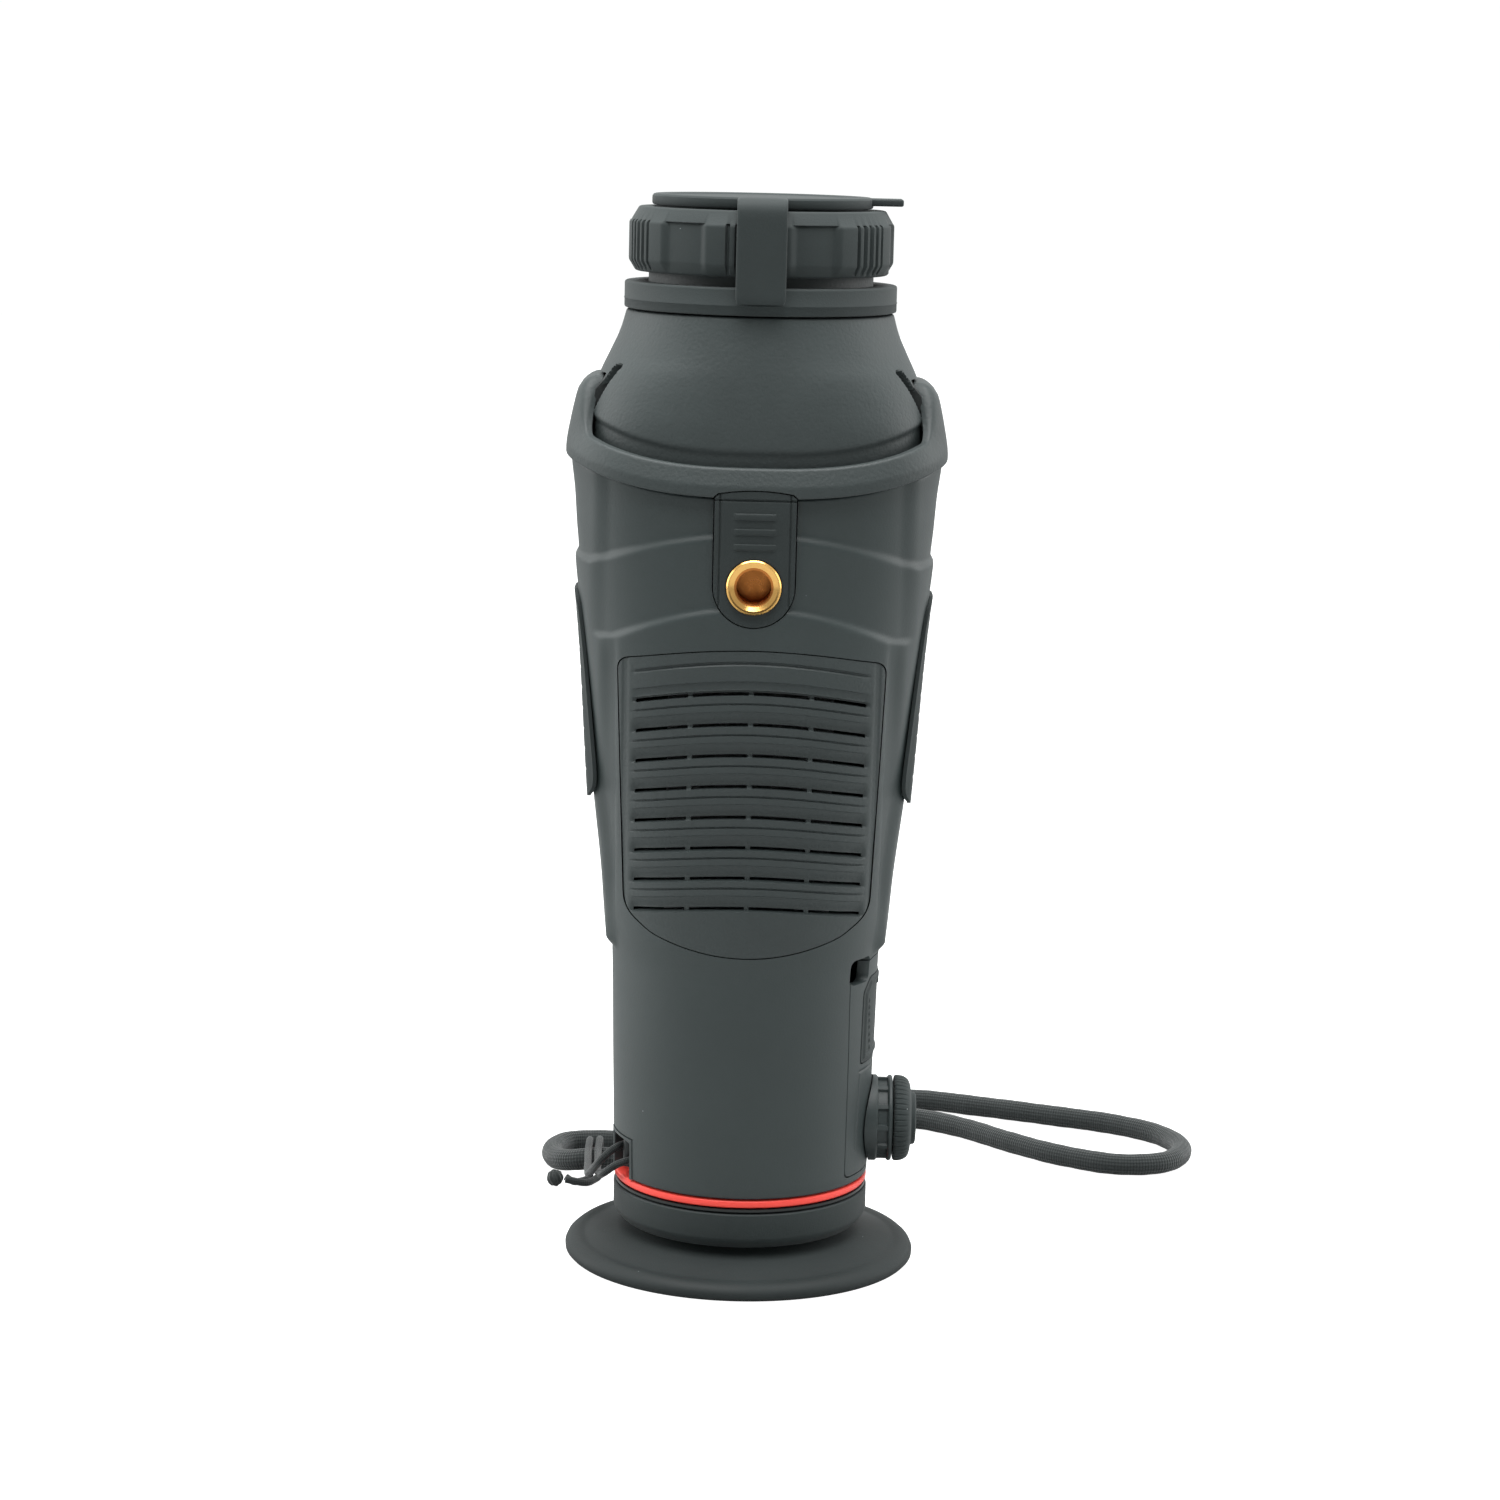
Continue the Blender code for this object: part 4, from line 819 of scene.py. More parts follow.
def section(table, height):
    """Half width, half depth and squareness at a height, on a curve through the table."""
    if height <= table[0][0]:
        return table[0][1:]
    if height >= table[-1][0]:
        return table[-1][1:]
    k = next(i for i in range(len(table) - 1) if height <= table[i + 1][0])
    (h0, *a), (h1, *b) = table[k], table[k + 1]
    (hb, *before), (ha, *after) = table[max(0, k - 1)], table[min(len(table) - 1, k + 2)]
    t = (height - h0) / (h1 - h0)
    result = []
    for p0, p1, q0, q1 in zip(a, b, before, after):
        rate_0 = (p1 - q0) / (h1 - hb) * (h1 - h0)
        rate_1 = (q1 - p0) / (ha - h0) * (h1 - h0)
        result.append((2 * t ** 3 - 3 * t ** 2 + 1) * p0 + (t ** 3 - 2 * t ** 2 + t) * rate_0
                      + (3 * t ** 2 - 2 * t ** 3) * p1 + (t ** 3 - t ** 2) * rate_1)
    return result


def ridge(y, height):
    """How far the side ridges stand out."""
    tall = smooth(height, 61.3, 64.2) * (1.8 - 1.6 * smooth(height, 64.0, 138.0))
    tall *= 1 - smooth(height, 134.0, 142.0)
    return tall * (1 - smooth(abs(y), 6.4, 9.6))


def terraces(x, height):
    """How far the steps on the underside and the top sink the surface."""
    upper = 144.9 - 6.4 * min(1.0, abs(x) / 31) ** 2
    lower = 131.3 - 7.0 * min(1.0, abs(x) / 27) ** 2
    step = smooth(height, upper - 1.0, upper + 0.6)
    inner = smooth(height, lower - 1.0, lower + 0.6) * (1 - smooth(abs(x), 28, 31))
    side = smooth(abs(x), 24.9, 26.2) * smooth(height, 60.5, 64.5) * (1 - smooth(height, 118, 128))
    return -0.75 * step - 0.75 * max(inner, side * (1 - smooth(abs(x), 27, 29)))


def ring_point(table, angle, height, offset=0.0):
    """A point on a section; angle 0 is +X."""
    width, depth, power = section(table, height)
    cosine, sine = math.cos(angle), math.sin(angle)
    x = math.copysign(abs(cosine) ** (2 / power), cosine) * (width + offset)
    y = math.copysign(abs(sine) ** (2 / power), sine) * (depth + offset)
    return Vector((x, y, height))


def body_ring(angle, height, offset=0.0):
    """A point on the body with its ridges and terraces."""
    plain = ring_point(BODY, angle, height)
    point = ring_point(BODY, angle, height, offset + terraces(plain.x, height))
    point.x += math.copysign(ridge(point.y, height), point.x)
    return point


def underside(x, height, offset=0.0, flat=False):
    """A point on the -Y side; flat leaves the terraces out."""
    width, depth, power = section(BODY, height)
    offset += 0 if flat else terraces(x, height)
    reach = max(0.0, 1 - (abs(x) / (width + offset)) ** power) ** (1 / power)
    return Vector((x, -(depth + offset) * reach, height))


def flank(y, height, offset=0.0):
    """A point on the +X side."""
    width, depth, power = section(BODY, height)
    reach = max(0.0, 1 - (abs(y) / (depth + offset)) ** power) ** (1 / power)
    return Vector(((width + offset) * reach + ridge(y, height), y, height))


def spread(start, end, count):
    """Evenly spaced values, both ends included."""
    return [start + (end - start) * i / (count - 1) for i in range(count)]


# %% [markdown]
# A shell starts as a flat grid that is rolled into a tube: each column becomes an angle, and the
# rows go up the outside and down the inside, so the tube has its wall from the start. It could be
# lofted between a few outlines and given a thickness by Solidify, but the rolled grid has even
# faces, so soft steps and ridges come out smooth, and the wall never folds over itself.

# %% Rolling and laying grids
def placed_grid(name, columns, rows, place):
    """A grid whose points go where place(column value, row value) says, in millimetres."""
    bpy.ops.object.select_all(action="DESELECT")
    bpy.ops.mesh.primitive_grid_add(x_subdivisions=len(columns) - 1, y_subdivisions=len(rows) - 1,
                                    size=2)
    obj = bpy.context.object
    obj.name = name
    for vertex in obj.data.vertices:
        i = round((vertex.co.x + 1) / 2 * (len(columns) - 1))
        j = round((vertex.co.y + 1) / 2 * (len(rows) - 1))
        vertex.co = place(columns[i], rows[j]) * MM
    edit(obj)
    leave_edit()
    return obj


def rolled(name, sides, *surfaces):
    """A closed tube: rows up one surface and down the next, each a (place, rows) pair."""
    rows = [(place, row) for place, surface_rows in surfaces for row in surface_rows]
    rows.append(rows[0])
    return placed_grid(name, spread(0, math.tau, sides + 1), rows,
                       lambda angle, row: row[0](angle, row[1]))


def prism(name, outline, start, end, along="Y"):
    """An outline of two coordinates, extruded along X or Y between two places."""
    bpy.ops.object.select_all(action="DESELECT")
    bpy.ops.mesh.primitive_circle_add(vertices=len(outline), fill_type="NGON")
    obj = bpy.context.object
    obj.name = name
    for vertex, (across, height) in zip(obj.data.vertices, outline):
        if along == "Y":
            vertex.co = Vector((across, start, height)) * MM
        else:
            vertex.co = Vector((start, across, height)) * MM
    edit(obj)
    way = (0, (end - start) * MM, 0) if along == "Y" else ((end - start) * MM, 0, 0)
    bpy.ops.mesh.extrude_region_move(TRANSFORM_OT_translate={"value": way})
    leave_edit()
    return obj


def box(name, start, end, edge=0.0, turn=0.0):
    """A cube scaled to two corners, its edges bevelled, turned about Z."""
    bpy.ops.object.select_all(action="DESELECT")
    bpy.ops.mesh.primitive_cube_add(size=1)
    obj = bpy.context.object
    obj.name = name
    start, end = Vector(start), Vector(end)
    edit(obj)
    bpy.ops.transform.resize(value=tuple((end - start) * MM))
    bpy.ops.transform.translate(value=tuple((end + start) / 2 * MM))
    if edge:
        bpy.ops.mesh.bevel(offset=edge * MM, segments=4, affect="EDGES")
    leave_edit()
    obj.data.transform(Matrix.Rotation(turn, 4, "Z"))
    return obj


def join(first, *others):
    """Join objects into the first."""
    only(first)
    for other in others:
        other.select_set(True)
    bpy.ops.object.join()
    return first


# %% Outlines of what sits in the body
def vent_outline(grow=0.0):
    """Straight sides that widen upwards, an arched top and a bowed bottom."""
    top = [(x, 123.2 - 2.1 * (x / 21.2) ** 2 + grow) for x in spread(-20.0, 20.0, 13)]
    bottom = [(x, 64.6 + 3.7 * (x / 19.0) ** 2 - grow) for x in spread(18.0, -18.0, 13)]
    sides = [(25.0 + grow, 120.4 + grow), (23.3 + grow, 71.6 - grow)]
    points = top + sides + bottom + [(-x, z) for x, z in reversed(sides)]
    return soften(points, 4.5, 6)


PLATE_HALF = 7.5
PLATE_TOP = 152.9
INSERT_HEIGHT = 135.2


def plate_outline(grow=0.0):
    """Straight sides, a round bottom and a slightly arched top."""
    half = PLATE_HALF + grow
    points = [(half * math.cos(a), INSERT_HEIGHT + half * math.sin(a))
              for a in spread(math.pi, math.tau, 25)]
    top = PLATE_TOP + grow
    for share in (1.0, 0.9, 0.6, 0.3, 0, -0.3, -0.6, -0.9, -1.0):
        corner = 0.5 if abs(share) == 1 else 0
        points.append((half * share, top - 0.8 * share ** 2 - corner))
    return points


def panel_outline(grow=0.0):
    """The side panel, a little wider at its top."""
    corners = [(-14.5 - grow, 19 - grow), (14.5 + grow, 19 - grow), (16.0 + grow, 60.0 + grow),
               (8.0, 61.4 + grow), (-8.0, 61.4 + grow), (-16.0 - grow, 60.0 + grow)]
    return soften(corners, 1.4, 4)


def in_band(value, start, end, soft=0.15):
    """1 between start and end, with soft edges."""
    return smooth(value, start - soft, start + soft) * (1 - smooth(value, end - soft, end + soft))


def superellipse(half_a, half_b, power, centre=(0, 0), count=64):
    """A rounded rectangle as one curve."""
    points = []
    for i in range(count):
        angle = math.tau * (i + 0.5) / count
        a = math.copysign(abs(math.cos(angle)) ** (2 / power), math.cos(angle))
        b = math.copysign(abs(math.sin(angle)) ** (2 / power), math.sin(angle))
        points.append((centre[0] + half_a * a, centre[1] + half_b * b))
    return points


# %% Main housing
def seam_height(seam, angle):
    """Height of a seam that rises towards the sides."""
    return seam + SEAM_DROOP * math.cos(angle) ** 2


EDGE = 0.4                   # radius of the shells' outer edges
ROUND_ROWS = (0.0, 0.05, 0.14, 0.27, EDGE)


def edge_drop(distance):
    """How far a rounded edge falls away, this far from the edge."""
    if distance >= EDGE:
        return 0.0
    return -(EDGE - math.sqrt(max(0.0, EDGE ** 2 - (EDGE - distance) ** 2)))


BLEND_FROM = 146.0


def housing_row(angle, row):
    """Height of a row: a plain height, or a share of the way to the seam and a distance below it."""
    if not isinstance(row, tuple):
        return row
    top = seam_height(BEZEL_SEAM, angle)
    return BLEND_FROM + row[0] * (top - BLEND_FROM) - row[1]


def housing_outside(angle, row):
    height = housing_row(angle, row)
    edge = min(seam_height(BEZEL_SEAM, angle) - height, height - BODY[0][0])
    return body_ring(angle, height, edge_drop(edge))


def housing_inside(angle, row):
    return ring_point(BODY, angle, housing_row(angle, row), -WALL)


UNDER_SEAM = [(share, 0.0) for share in spread(0.12, 0.9, 8)]
AT_SEAM = [(1.0, distance) for distance in reversed(ROUND_ROWS)]
outside = [BODY[0][0] + d for d in ROUND_ROWS] + spread(20, 57, 12) + spread(58, 66, 21)
outside += spread(67.5, 119, 34) + spread(120, BLEND_FROM, 58) + UNDER_SEAM + AT_SEAM
inside = [(1.0, 0.0), (0.6, 0.0), (0.2, 0.0)] + spread(144, BODY[0][0], 14)
housing = rolled("housing_shell", 224, (housing_outside, outside), (housing_inside, inside))
cut(housing, prism("vent_hole", vent_outline(SEAM_GAP), -45, -8))
cut(housing, prism("plate_hole", plate_outline(SEAM_GAP), -45, -18))
cut(housing, prism("panel_hole", panel_outline(SEAM_GAP), 12, 45, along="X"))
cut(housing, box("finger_notch", (19.2, -16.4, 56.8), (40, -9.9, 62.2), 1.3))
lug_half = (high("strap_lug").z - low("strap_lug").z) / 2
lug_middle = (high("strap_lug").z + low("strap_lug").z) / 2
cut(housing, box("lug_hole", (12, -6.2, lug_middle - lug_half - 3), (40, 6.2, lug_middle + lug_half + 0.2),
                 0.0, LUG_ANGLE))
print("housing cut,", len(housing.data.polygons), "faces")
finish(housing, shell_plastic, "housing", "matte_plastic", "main_housing", angle=40)

# %% [markdown]
# ## Bezel and cone
#
# The bezel is a collar round the head with two ears that guard the laser windows. Its rim comes
# from the same tube, whose upper edge is a function of the angle, so the ears grow out of the
# collar without a joint. Boxes joined to a ring would need their creases smoothed afterwards.

# %% Bezel
EAR_FULL = 8.6
EAR_END = 18.8


def bezel_top(angle):
    """Height of the collar's upper edge, up to the ears."""
    y = ring_point(BODY, angle, 160).y
    low_edge = seam_height(CONE_SEAM, angle)
    ear = 1 - smooth(abs(y), EAR_FULL, EAR_END)
    return low_edge + (SHOULDER_TOP - low_edge) * ear ** 1.3


def bezel_height(angle, share):
    """Share 0 is the lower edge and 1 the upper."""
    start = seam_height(BEZEL_SEAM, angle) + SEAM_GAP
    return start + share * (bezel_top(angle) - start)


def ear_share(angle):
    """1 at the ears and 0 at the front and back."""
    return 1 - smooth(abs(ring_point(BODY, angle, 160).y), EAR_FULL, EAR_END)


def bezel_outside(angle, share):
    """The upper part leans in from a soft crease, and the ears have a round top."""
    height = bezel_height(angle, share)
    ear = ear_share(angle)
    edge = min(height - bezel_height(angle, 0), bezel_top(angle) - height)
    crease = seam_height(BEZEL_SEAM, angle) + 2.3
    lean = -1.15 * max(0.0, min(1.0, (height - crease) / 3.6)) * (1 - ear)
    fall = bezel_top(angle) - height
    crown = -2.6 * ear * (1 - math.sqrt(max(0.0, 1 - max(0.0, 1 - fall / 3.4) ** 2)))
    return ring_point(BODY, angle, height, 0.25 + edge_drop(edge) + lean + crown)


def bezel_inside(angle, share):
    """Close to the cone, so that the ears stand up from it."""
    height = bezel_height(angle, share)
    outer = bezel_outside(angle, share)
    inner = ring_point(CONE, angle, height, 0.15)
    thin = ring_point(BODY, angle, height, -2.1)
    mix = 0.85 * ear_share(angle) * smooth(abs(outer.y), 9.5, 12.0)
    inner = thin.lerp(inner, mix)
    if inner.xy.length > outer.xy.length - 0.9:
        inner.xy = inner.xy.normalized() * (outer.xy.length - 0.9)
    return inner


shares = [0, 0.004, 0.012, 0.03, 0.06] + spread(0.1, 0.9, 12) + [0.94, 0.97, 0.988, 0.996, 1.0]
bezel = rolled("bezel", 224, (bezel_outside, shares), (bezel_inside, [1.0, 0.75, 0.5, 0.25, 0.0]))
cut(bezel, prism("plate_notch", plate_outline(SEAM_GAP), -45, -18))
finish(bezel, head_plastic, "housing", "grained_plastic", "front_bezel", angle=40)

# %% Cone
NECK_RADIUS = 21.2
NECK_TOP = 197.2
NECK_BORE = 18.7
SCOOP_INNER = 23.1
SCOOP_TOP = 172.5


def cone_foot(angle):
    """Where the cone goes down behind the bezel."""
    return seam_height(CONE_SEAM, angle) - 2.5


def slit(point):
    """Depth of the slits beside the scoops, which run up and outwards."""
    height = min(174.4, max(162.7, point.z))
    middle = 9.6 + (height - 162.7) / 11.7 * 4.7
    return 1.9 * (1 - smooth(abs(abs(point.y) - middle), 0.75, 1.35)) * in_band(
        point.z, 163.2, 174.0, 0.5) * (abs(point.x) > 20)


def cone_outside(angle, share):
    start = cone_foot(angle)
    height = start + share * (184.1 - start)
    ledge = smooth(height, seam_height(CONE_SEAM, angle) + 1.8, seam_height(CONE_SEAM, angle) + 3.2)
    offset = -0.65 * (1 - ledge) + edge_drop(184.1 - height)
    return ring_point(CONE, angle, height, offset - slit(ring_point(CONE, angle, height)))


def cone_inside(angle, share):
    start = cone_foot(angle)
    return ring_point(CONE, angle, start + share * (180.0 - start), -2.1)


def neck(angle, row):
    radius, height = row
    return Vector((radius * math.cos(angle), radius * math.sin(angle), height))


shares = [0, 0.03] + spread(0.06, 0.7, 44) + spread(0.74, 0.97, 8) + [0.988, 0.994, 0.998, 1.0]
neck_rows = [(NECK_RADIUS + 0.1, 184.1), (NECK_RADIUS, 184.3), (NECK_RADIUS, NECK_TOP - 0.3),
             (NECK_RADIUS - 0.3, NECK_TOP), (NECK_BORE + 0.3, NECK_TOP), (NECK_BORE, NECK_TOP - 0.3),
             (NECK_BORE, 182.0)]
cone = rolled("cone", 384, (cone_outside, shares), (neck, neck_rows),
              (cone_inside, spread(1.0, 0.0, 8)))
for side in (1, -1):
    scoop = box("scoop", (SCOOP_INNER, -11.3, 140), (60, 11.3, SCOOP_TOP), 0.8)
    for vertex in scoop.data.vertices:
        vertex.co.x *= side
    edit(scoop)
    leave_edit()
    cut(cone, scoop)
bore_for_pin = lathe("pin_bore", [(0, 10), (1.4, 10), (1.4, 24), (0, 24)], sides=24, closed=False,
                     place=Matrix.Translation((0, 0, 0.187)) @ Matrix.Rotation(-math.pi / 2, 4, "X"))
cut(cone, bore_for_pin)
finish(cone, head_plastic, "housing", "grained_plastic", "lens_cone", angle=35)

# %% [markdown]
# Each laser window looks out of a dark scoop between the cone and an ear. The scoop is a box with
# one corner hollowed out, and two ledges across its mouth stop stray light. They are joined into
# it rather than laid in, as they would be moulded in one piece.

# %% Scoops and windows
def hood_limit(angle, height):
    """The scoop's outside: inside the ear below, and the cone's surface above it."""
    outer = ring_point(CONE, angle, height, -0.25)
    if height < SHOULDER_TOP - 1.0:
        outer = ring_point(BODY, angle, height, -2.55)
    return outer


for side, part in ((1, "emitter"), (-1, "receiver")):
    start, end = low(part + "_hood"), high(part + "_hood")
    reach = max(abs(start.x), abs(end.x)) + 0.6
    hood = box(part + "_scoop", (23.4, -11.0, 156.9), (reach, 11.0, 172.2), 0.35)
    cut(hood, box("hollow", (24.6, -9.8, 158.9), (60, 9.8, 180), 0.6))
    for height, ledge_reach in ((165.0, 1.5), (168.6, 1.1)):
        for way in (-1, 1):
            ledge = box("ledge", (24.0, min(way * 9.9, way * (9.9 - ledge_reach)), height - 0.45),
                        (reach - 1.4, max(way * 9.9, way * (9.9 - ledge_reach)), height + 0.45), 0.2)
            cut(hood, ledge, "UNION")
    # The outside follows the cone, and the foot has a seat for the laser's tube.
    envelope = rolled("envelope", 96, (hood_limit, spread(152, 176, 12)),
                      (lambda a, h: Vector((math.cos(a), math.sin(a), h)), [176, 152]))
    for vertex in hood.data.vertices:
        vertex.co.x *= side
    edit(hood)
    leave_edit()
    cut(hood, envelope, "INTERSECT")
    seat = lathe("seat", [(0, 150), (3.5, 150), (3.5, 162), (0, 162)], sides=48, closed=False,
                 place=Matrix.Translation((side * 0.0274, 0, 0)))
    cut(hood, seat)
    finish(hood, dark_inside, "housing", "matte_plastic", part + "_hood", angle=30)
    window = lathe(part + "_glass", [(0, 157.35), (3.0, 157.35), (3.2, 157.5), (3.2, 158.5),
                                     (3.05, 158.65), (0, 158.75)], sides=64, closed=False,
                   place=Matrix.Translation((side * 0.0274, 0, 0)))
    finish(window, window_glass, "housing", "lens_glass", part + "_window", angle=30)

# %% [markdown]
# ## Vent and tripod socket
#
# The vent is a panel of eight slots with long ribs between them, and each rib drops to a slope
# that sheds water. The panel starts as a grid whose rows arch with its top edge. Faces are taken
# out where the slots are open, the sheet gets its thickness in one direction, and what lies inside
# the outline is kept. Louvres could be separate bars, but they would show no common edge.

# %% Vent panel
SLOT_TOP = 115.2
SLOT_PITCH = 5.86
SLOT_COUNT = 8
SLOT_HEIGHT = 0.62


def arch_drop(x):
    return -2.8 * (x / 22.4) ** 2


def vent_relief(x, level):
    """Depth of the pattern at a level counted along the arches."""
    below = SLOT_TOP - level
    field = 1 - smooth(abs(x), 20.6, 22.6)
    if below < -SLOT_HEIGHT / 2 - 0.4:
        above = -below
        crown = -0.35 * smooth(above, 0.5, 0.9) * (1 - smooth(above, 2.2, 2.5))
        groove = -0.4 * smooth(above, 5.4, 5.65) * (1 - smooth(above, 5.9, 6.15))
        return (crown + groove) * field
    row, distance = divmod(below - SLOT_HEIGHT / 2, SLOT_PITCH)
    if row >= SLOT_COUNT - 1:
        return 0.0
    line = -0.3 * smooth(distance, 1.35, 1.5) * (1 - smooth(distance, 1.65, 1.8))
    drop = -0.32 * smooth(distance, 2.85, 3.15)
    slope = -0.5 * smooth(distance, 3.2, 4.95)
    return (line + drop + slope) * field


def vent_place(x, level):
    height = level + arch_drop(x)
    margin = -0.18 * smooth(abs(x), 22.7, 23.2) * (1 - smooth(abs(x), 23.8, 24.2))
    return underside(x, height, vent_relief(x, level) + margin - 0.05, flat=True)


levels = []
for k in range(SLOT_COUNT):
    top = SLOT_TOP - SLOT_PITCH * k
    levels += [top + d for d in (0.75, 0.55, SLOT_HEIGHT / 2, 0.0, -SLOT_HEIGHT / 2, -0.55, -0.9,
                                 -1.3, -1.6, -1.725, -1.85, -1.975, -2.1, -2.25, -2.6, -3.0, -3.2,
                                 -3.35, -3.5, -3.65, -4.0, -4.4, -4.8)]
levels += [SLOT_TOP + d for d in (1.0, 1.3, 1.8, 2.2, 2.35, 2.5, 2.8, 3.5, 4.5, 5.3, 5.5, 5.65,
                                  5.78, 5.9, 6.05, 6.2, 6.5, 7.5, 9.0, 11.0)]
floor_level = SLOT_TOP - SLOT_PITCH * (SLOT_COUNT - 1)
levels += [floor_level - d for d in (5.6, 7.0, 9.0, 11.0, 13.0)]
levels = sorted(set(round(v, 4) for v in levels))
BRIDGES = (-11.2, 0.0, 11.2)
BRIDGE_HALF = 0.45
SLOT_END = 21.4
across = spread(-25.6, -24.4, 4) + spread(-24.2, -21.6, 14) + spread(21.6, 24.2, 14)
across += spread(24.4, 25.6, 4) + [-SLOT_END, SLOT_END]
for a, b in ((-SLOT_END, -11.65), (-10.75, -0.45), (0.45, 10.75), (11.65, SLOT_END)):
    across += spread(a, b, 9)
across = sorted(set(round(v, 4) for v in across))
vent = placed_grid("vent", across, levels, vent_place)
edit(vent)
mesh = bmesh.from_edit_mesh(vent.data)
for face in mesh.faces:
    middle = face.calc_center_median() / MM
    below = (SLOT_TOP - middle.z + arch_drop(middle.x)) / SLOT_PITCH
    near = abs(below - round(below)) * SLOT_PITCH < SLOT_HEIGHT / 2 and 0 <= round(below) < SLOT_COUNT
    clear = abs(middle.x) < SLOT_END and all(abs(middle.x - b) > BRIDGE_HALF for b in BRIDGES)
    face.select = near and clear
bmesh.update_edit_mesh(vent.data)
bpy.ops.mesh.delete(type="FACE")
bpy.ops.mesh.select_all(action="SELECT")
bpy.ops.mesh.extrude_region_move(TRANSFORM_OT_translate={"value": (0, 1.9 * MM, 0)})
leave_edit()
cut(vent, prism("vent_edge", vent_outline(), -45, -8), "INTERSECT")
round_edges(vent, 0.1, angle=60, segments=1)
finish(vent, head_plastic, "housing", "grained_plastic", "vent_panel", angle=30)

# %% [markdown]
# The tripod plate is a soft strip with a round lower end. It is made like the vent, and three
# short raised bars stand for a maker's pattern. The brass insert in it is turned: a bright
# conical mouth and a bore with a thread. The thread is drawn as rings, because at this size a
# helix would look the same.

# %% Tripod plate
SOCKET = Matrix.Translation((0, 0, INSERT_HEIGHT * MM)) @ Matrix.Rotation(math.pi / 2, 4, "X")


def plate_place(x, height):
    lip = -0.35 * smooth(height, 150.9, 151.1) * (1 - smooth(height, 151.3, 151.5))
    bars = 0.0
    for bar in (142.6, 145.4, 148.2):
        bars = max(bars, (1 - smooth(abs(height - bar), 0.42, 0.62)) * (1 - smooth(abs(x), 3.6, 3.9)))
    rim = -0.3 * smooth(abs(x), PLATE_HALF - 1.25, PLATE_HALF - 1.1)
    rim *= 1 - smooth(abs(x), PLATE_HALF - 0.95, PLATE_HALF - 0.8)
    return underside(x, height, 0.15 + lip + 0.3 * bars + rim, flat=True)


across = sorted(set(spread(-8.2, 8.2, 42) + spread(6.2, 6.8, 5) + spread(-6.8, -6.2, 5)))
plate = placed_grid("plate", across, spread(126.5, 154.5, 150), plate_place)
edit(plate)
bpy.ops.mesh.extrude_region_move(TRANSFORM_OT_translate={"value": (0, 5.5 * MM, 0)})
leave_edit()
cut(plate, prism("plate_edge", plate_outline(), -45, -18), "INTERSECT")
bore = lathe("plate_bore", [(0, 10), (5.2, 10), (5.2, 40), (0, 40)], sides=96, closed=False,
             place=SOCKET)
cut(plate, bore)
round_edges(plate, 0.12, angle=60, segments=2)
finish(plate, grip_rubber, "housing", "rubber", "tripod_plate", angle=30)

# %% Threaded insert
face = -low("tripod_insert").y
profile = [(0, face - 7.6), (5.05, face - 7.6), (5.05, face - 0.25), (4.8, face), (4.55, face),
           (4.35, face - 0.08), (3.62, face - 0.75)]
depth = face - 0.9
while depth > face - 6.0:
    profile += [(3.2, depth), (3.2, depth - 0.25), (3.55, depth - 0.65), (3.55, depth - 0.85)]
    depth -= 1.27
profile += [(3.2, face - 6.6), (0, face - 6.6)]
insert = lathe("insert", profile, sides=128, closed=False, place=SOCKET)
finish(insert, turned_brass, "housing", "brass", "tripod_insert", angle=25)
insert.data.materials.append(bore_brass)
for polygon in insert.data.polygons:
    polygon.material_index = int(-polygon.center.y / MM < face - 0.8)

# %% [markdown]
# ## Eyepiece end
#
# The eyecup is a soft flared cup with a bead round its rim. Above it sit the rear cap, the black
# lip of the eyepiece tube and a red ring, all turned. Each profile is drawn once and swept round
# the axis by extruding a circle and scaling it, which gives exact places and even faces.

# %% Eyecup, rear cap, lip and ring
eyecup = lathe("eyecup_skin", [
    (17.0, 13.8), (17.0, 7.0), (20.5, 7.0), (20.9, 6.8), (21.3, 6.4), (22.6, 5.9), (25.2, 5.0),
    (27.6, 4.1), (29.6, 3.3), (30.2, 3.12), (30.6, 3.06), (31.2, 3.12), (32.0, 3.1),
    (33.0, 2.8), (33.8, 2.1), (34.15, 1.3), (34.1, 0.55), (33.7, 0.12), (33.1, 0.0),
    (31.2, 0.0), (30.7, 0.15), (30.4, 0.5), (29.6, 0.8), (25.0, 2.6), (20.5, 4.1), (18.6, 4.5),
    (16.0, 5.4), (15.0, 6.1), (14.8, 7.0), (14.8, 13.4), (15.2, 13.8),
], sides=192)
finish(eyecup, cup_rubber, "housing", "rubber", "eyecup", angle=40)
rear_cap = lathe("rear_cap_skin", [
    (24.8, 14.05), (24.8, 9.6), (24.7, 9.2), (24.3, 8.6), (23.6, 7.7), (23.2, 7.38), (22.8, 7.3),
    (17.3, 7.3), (17.3, 14.3), (24.3, 14.3), (24.6, 14.25),
], sides=160)
finish(rear_cap, grip_rubber, "housing", "matte_plastic", "rear_cap", angle=30)
barrel = lathe("eyepiece_tube", [
    (18.4, 42.0), (18.4, 15.3), (24.4, 15.3), (24.6, 15.2), (24.6, 14.75), (24.4, 14.6),
    (16.6, 14.6), (16.4, 14.8), (16.4, 42.0),
], sides=128)
shaft_way = Matrix.Translation((0, 0, 0.0273)) @ Matrix.Rotation(math.pi / 2, 4, "Y")
shaft_bore = [(0, 12), (5.3, 12), (5.3, 40), (0, 40)]
cut(barrel, lathe("shaft_bore", shaft_bore, sides=64, closed=False, place=shaft_way))
finish(barrel, black_anodised, "housing", "anodised_black", "eyepiece_barrel", angle=30)
ring = lathe("red_ring", [
    (24.55, 16.9), (24.7, 16.75), (24.75, 16.3), (24.7, 15.85), (24.5, 15.6), (18.7, 15.6),
    (18.7, 17.0), (24.3, 17.0),
], sides=192)
finish(ring, signal_red, "housing", "accent_red", "accent_ring", angle=30)

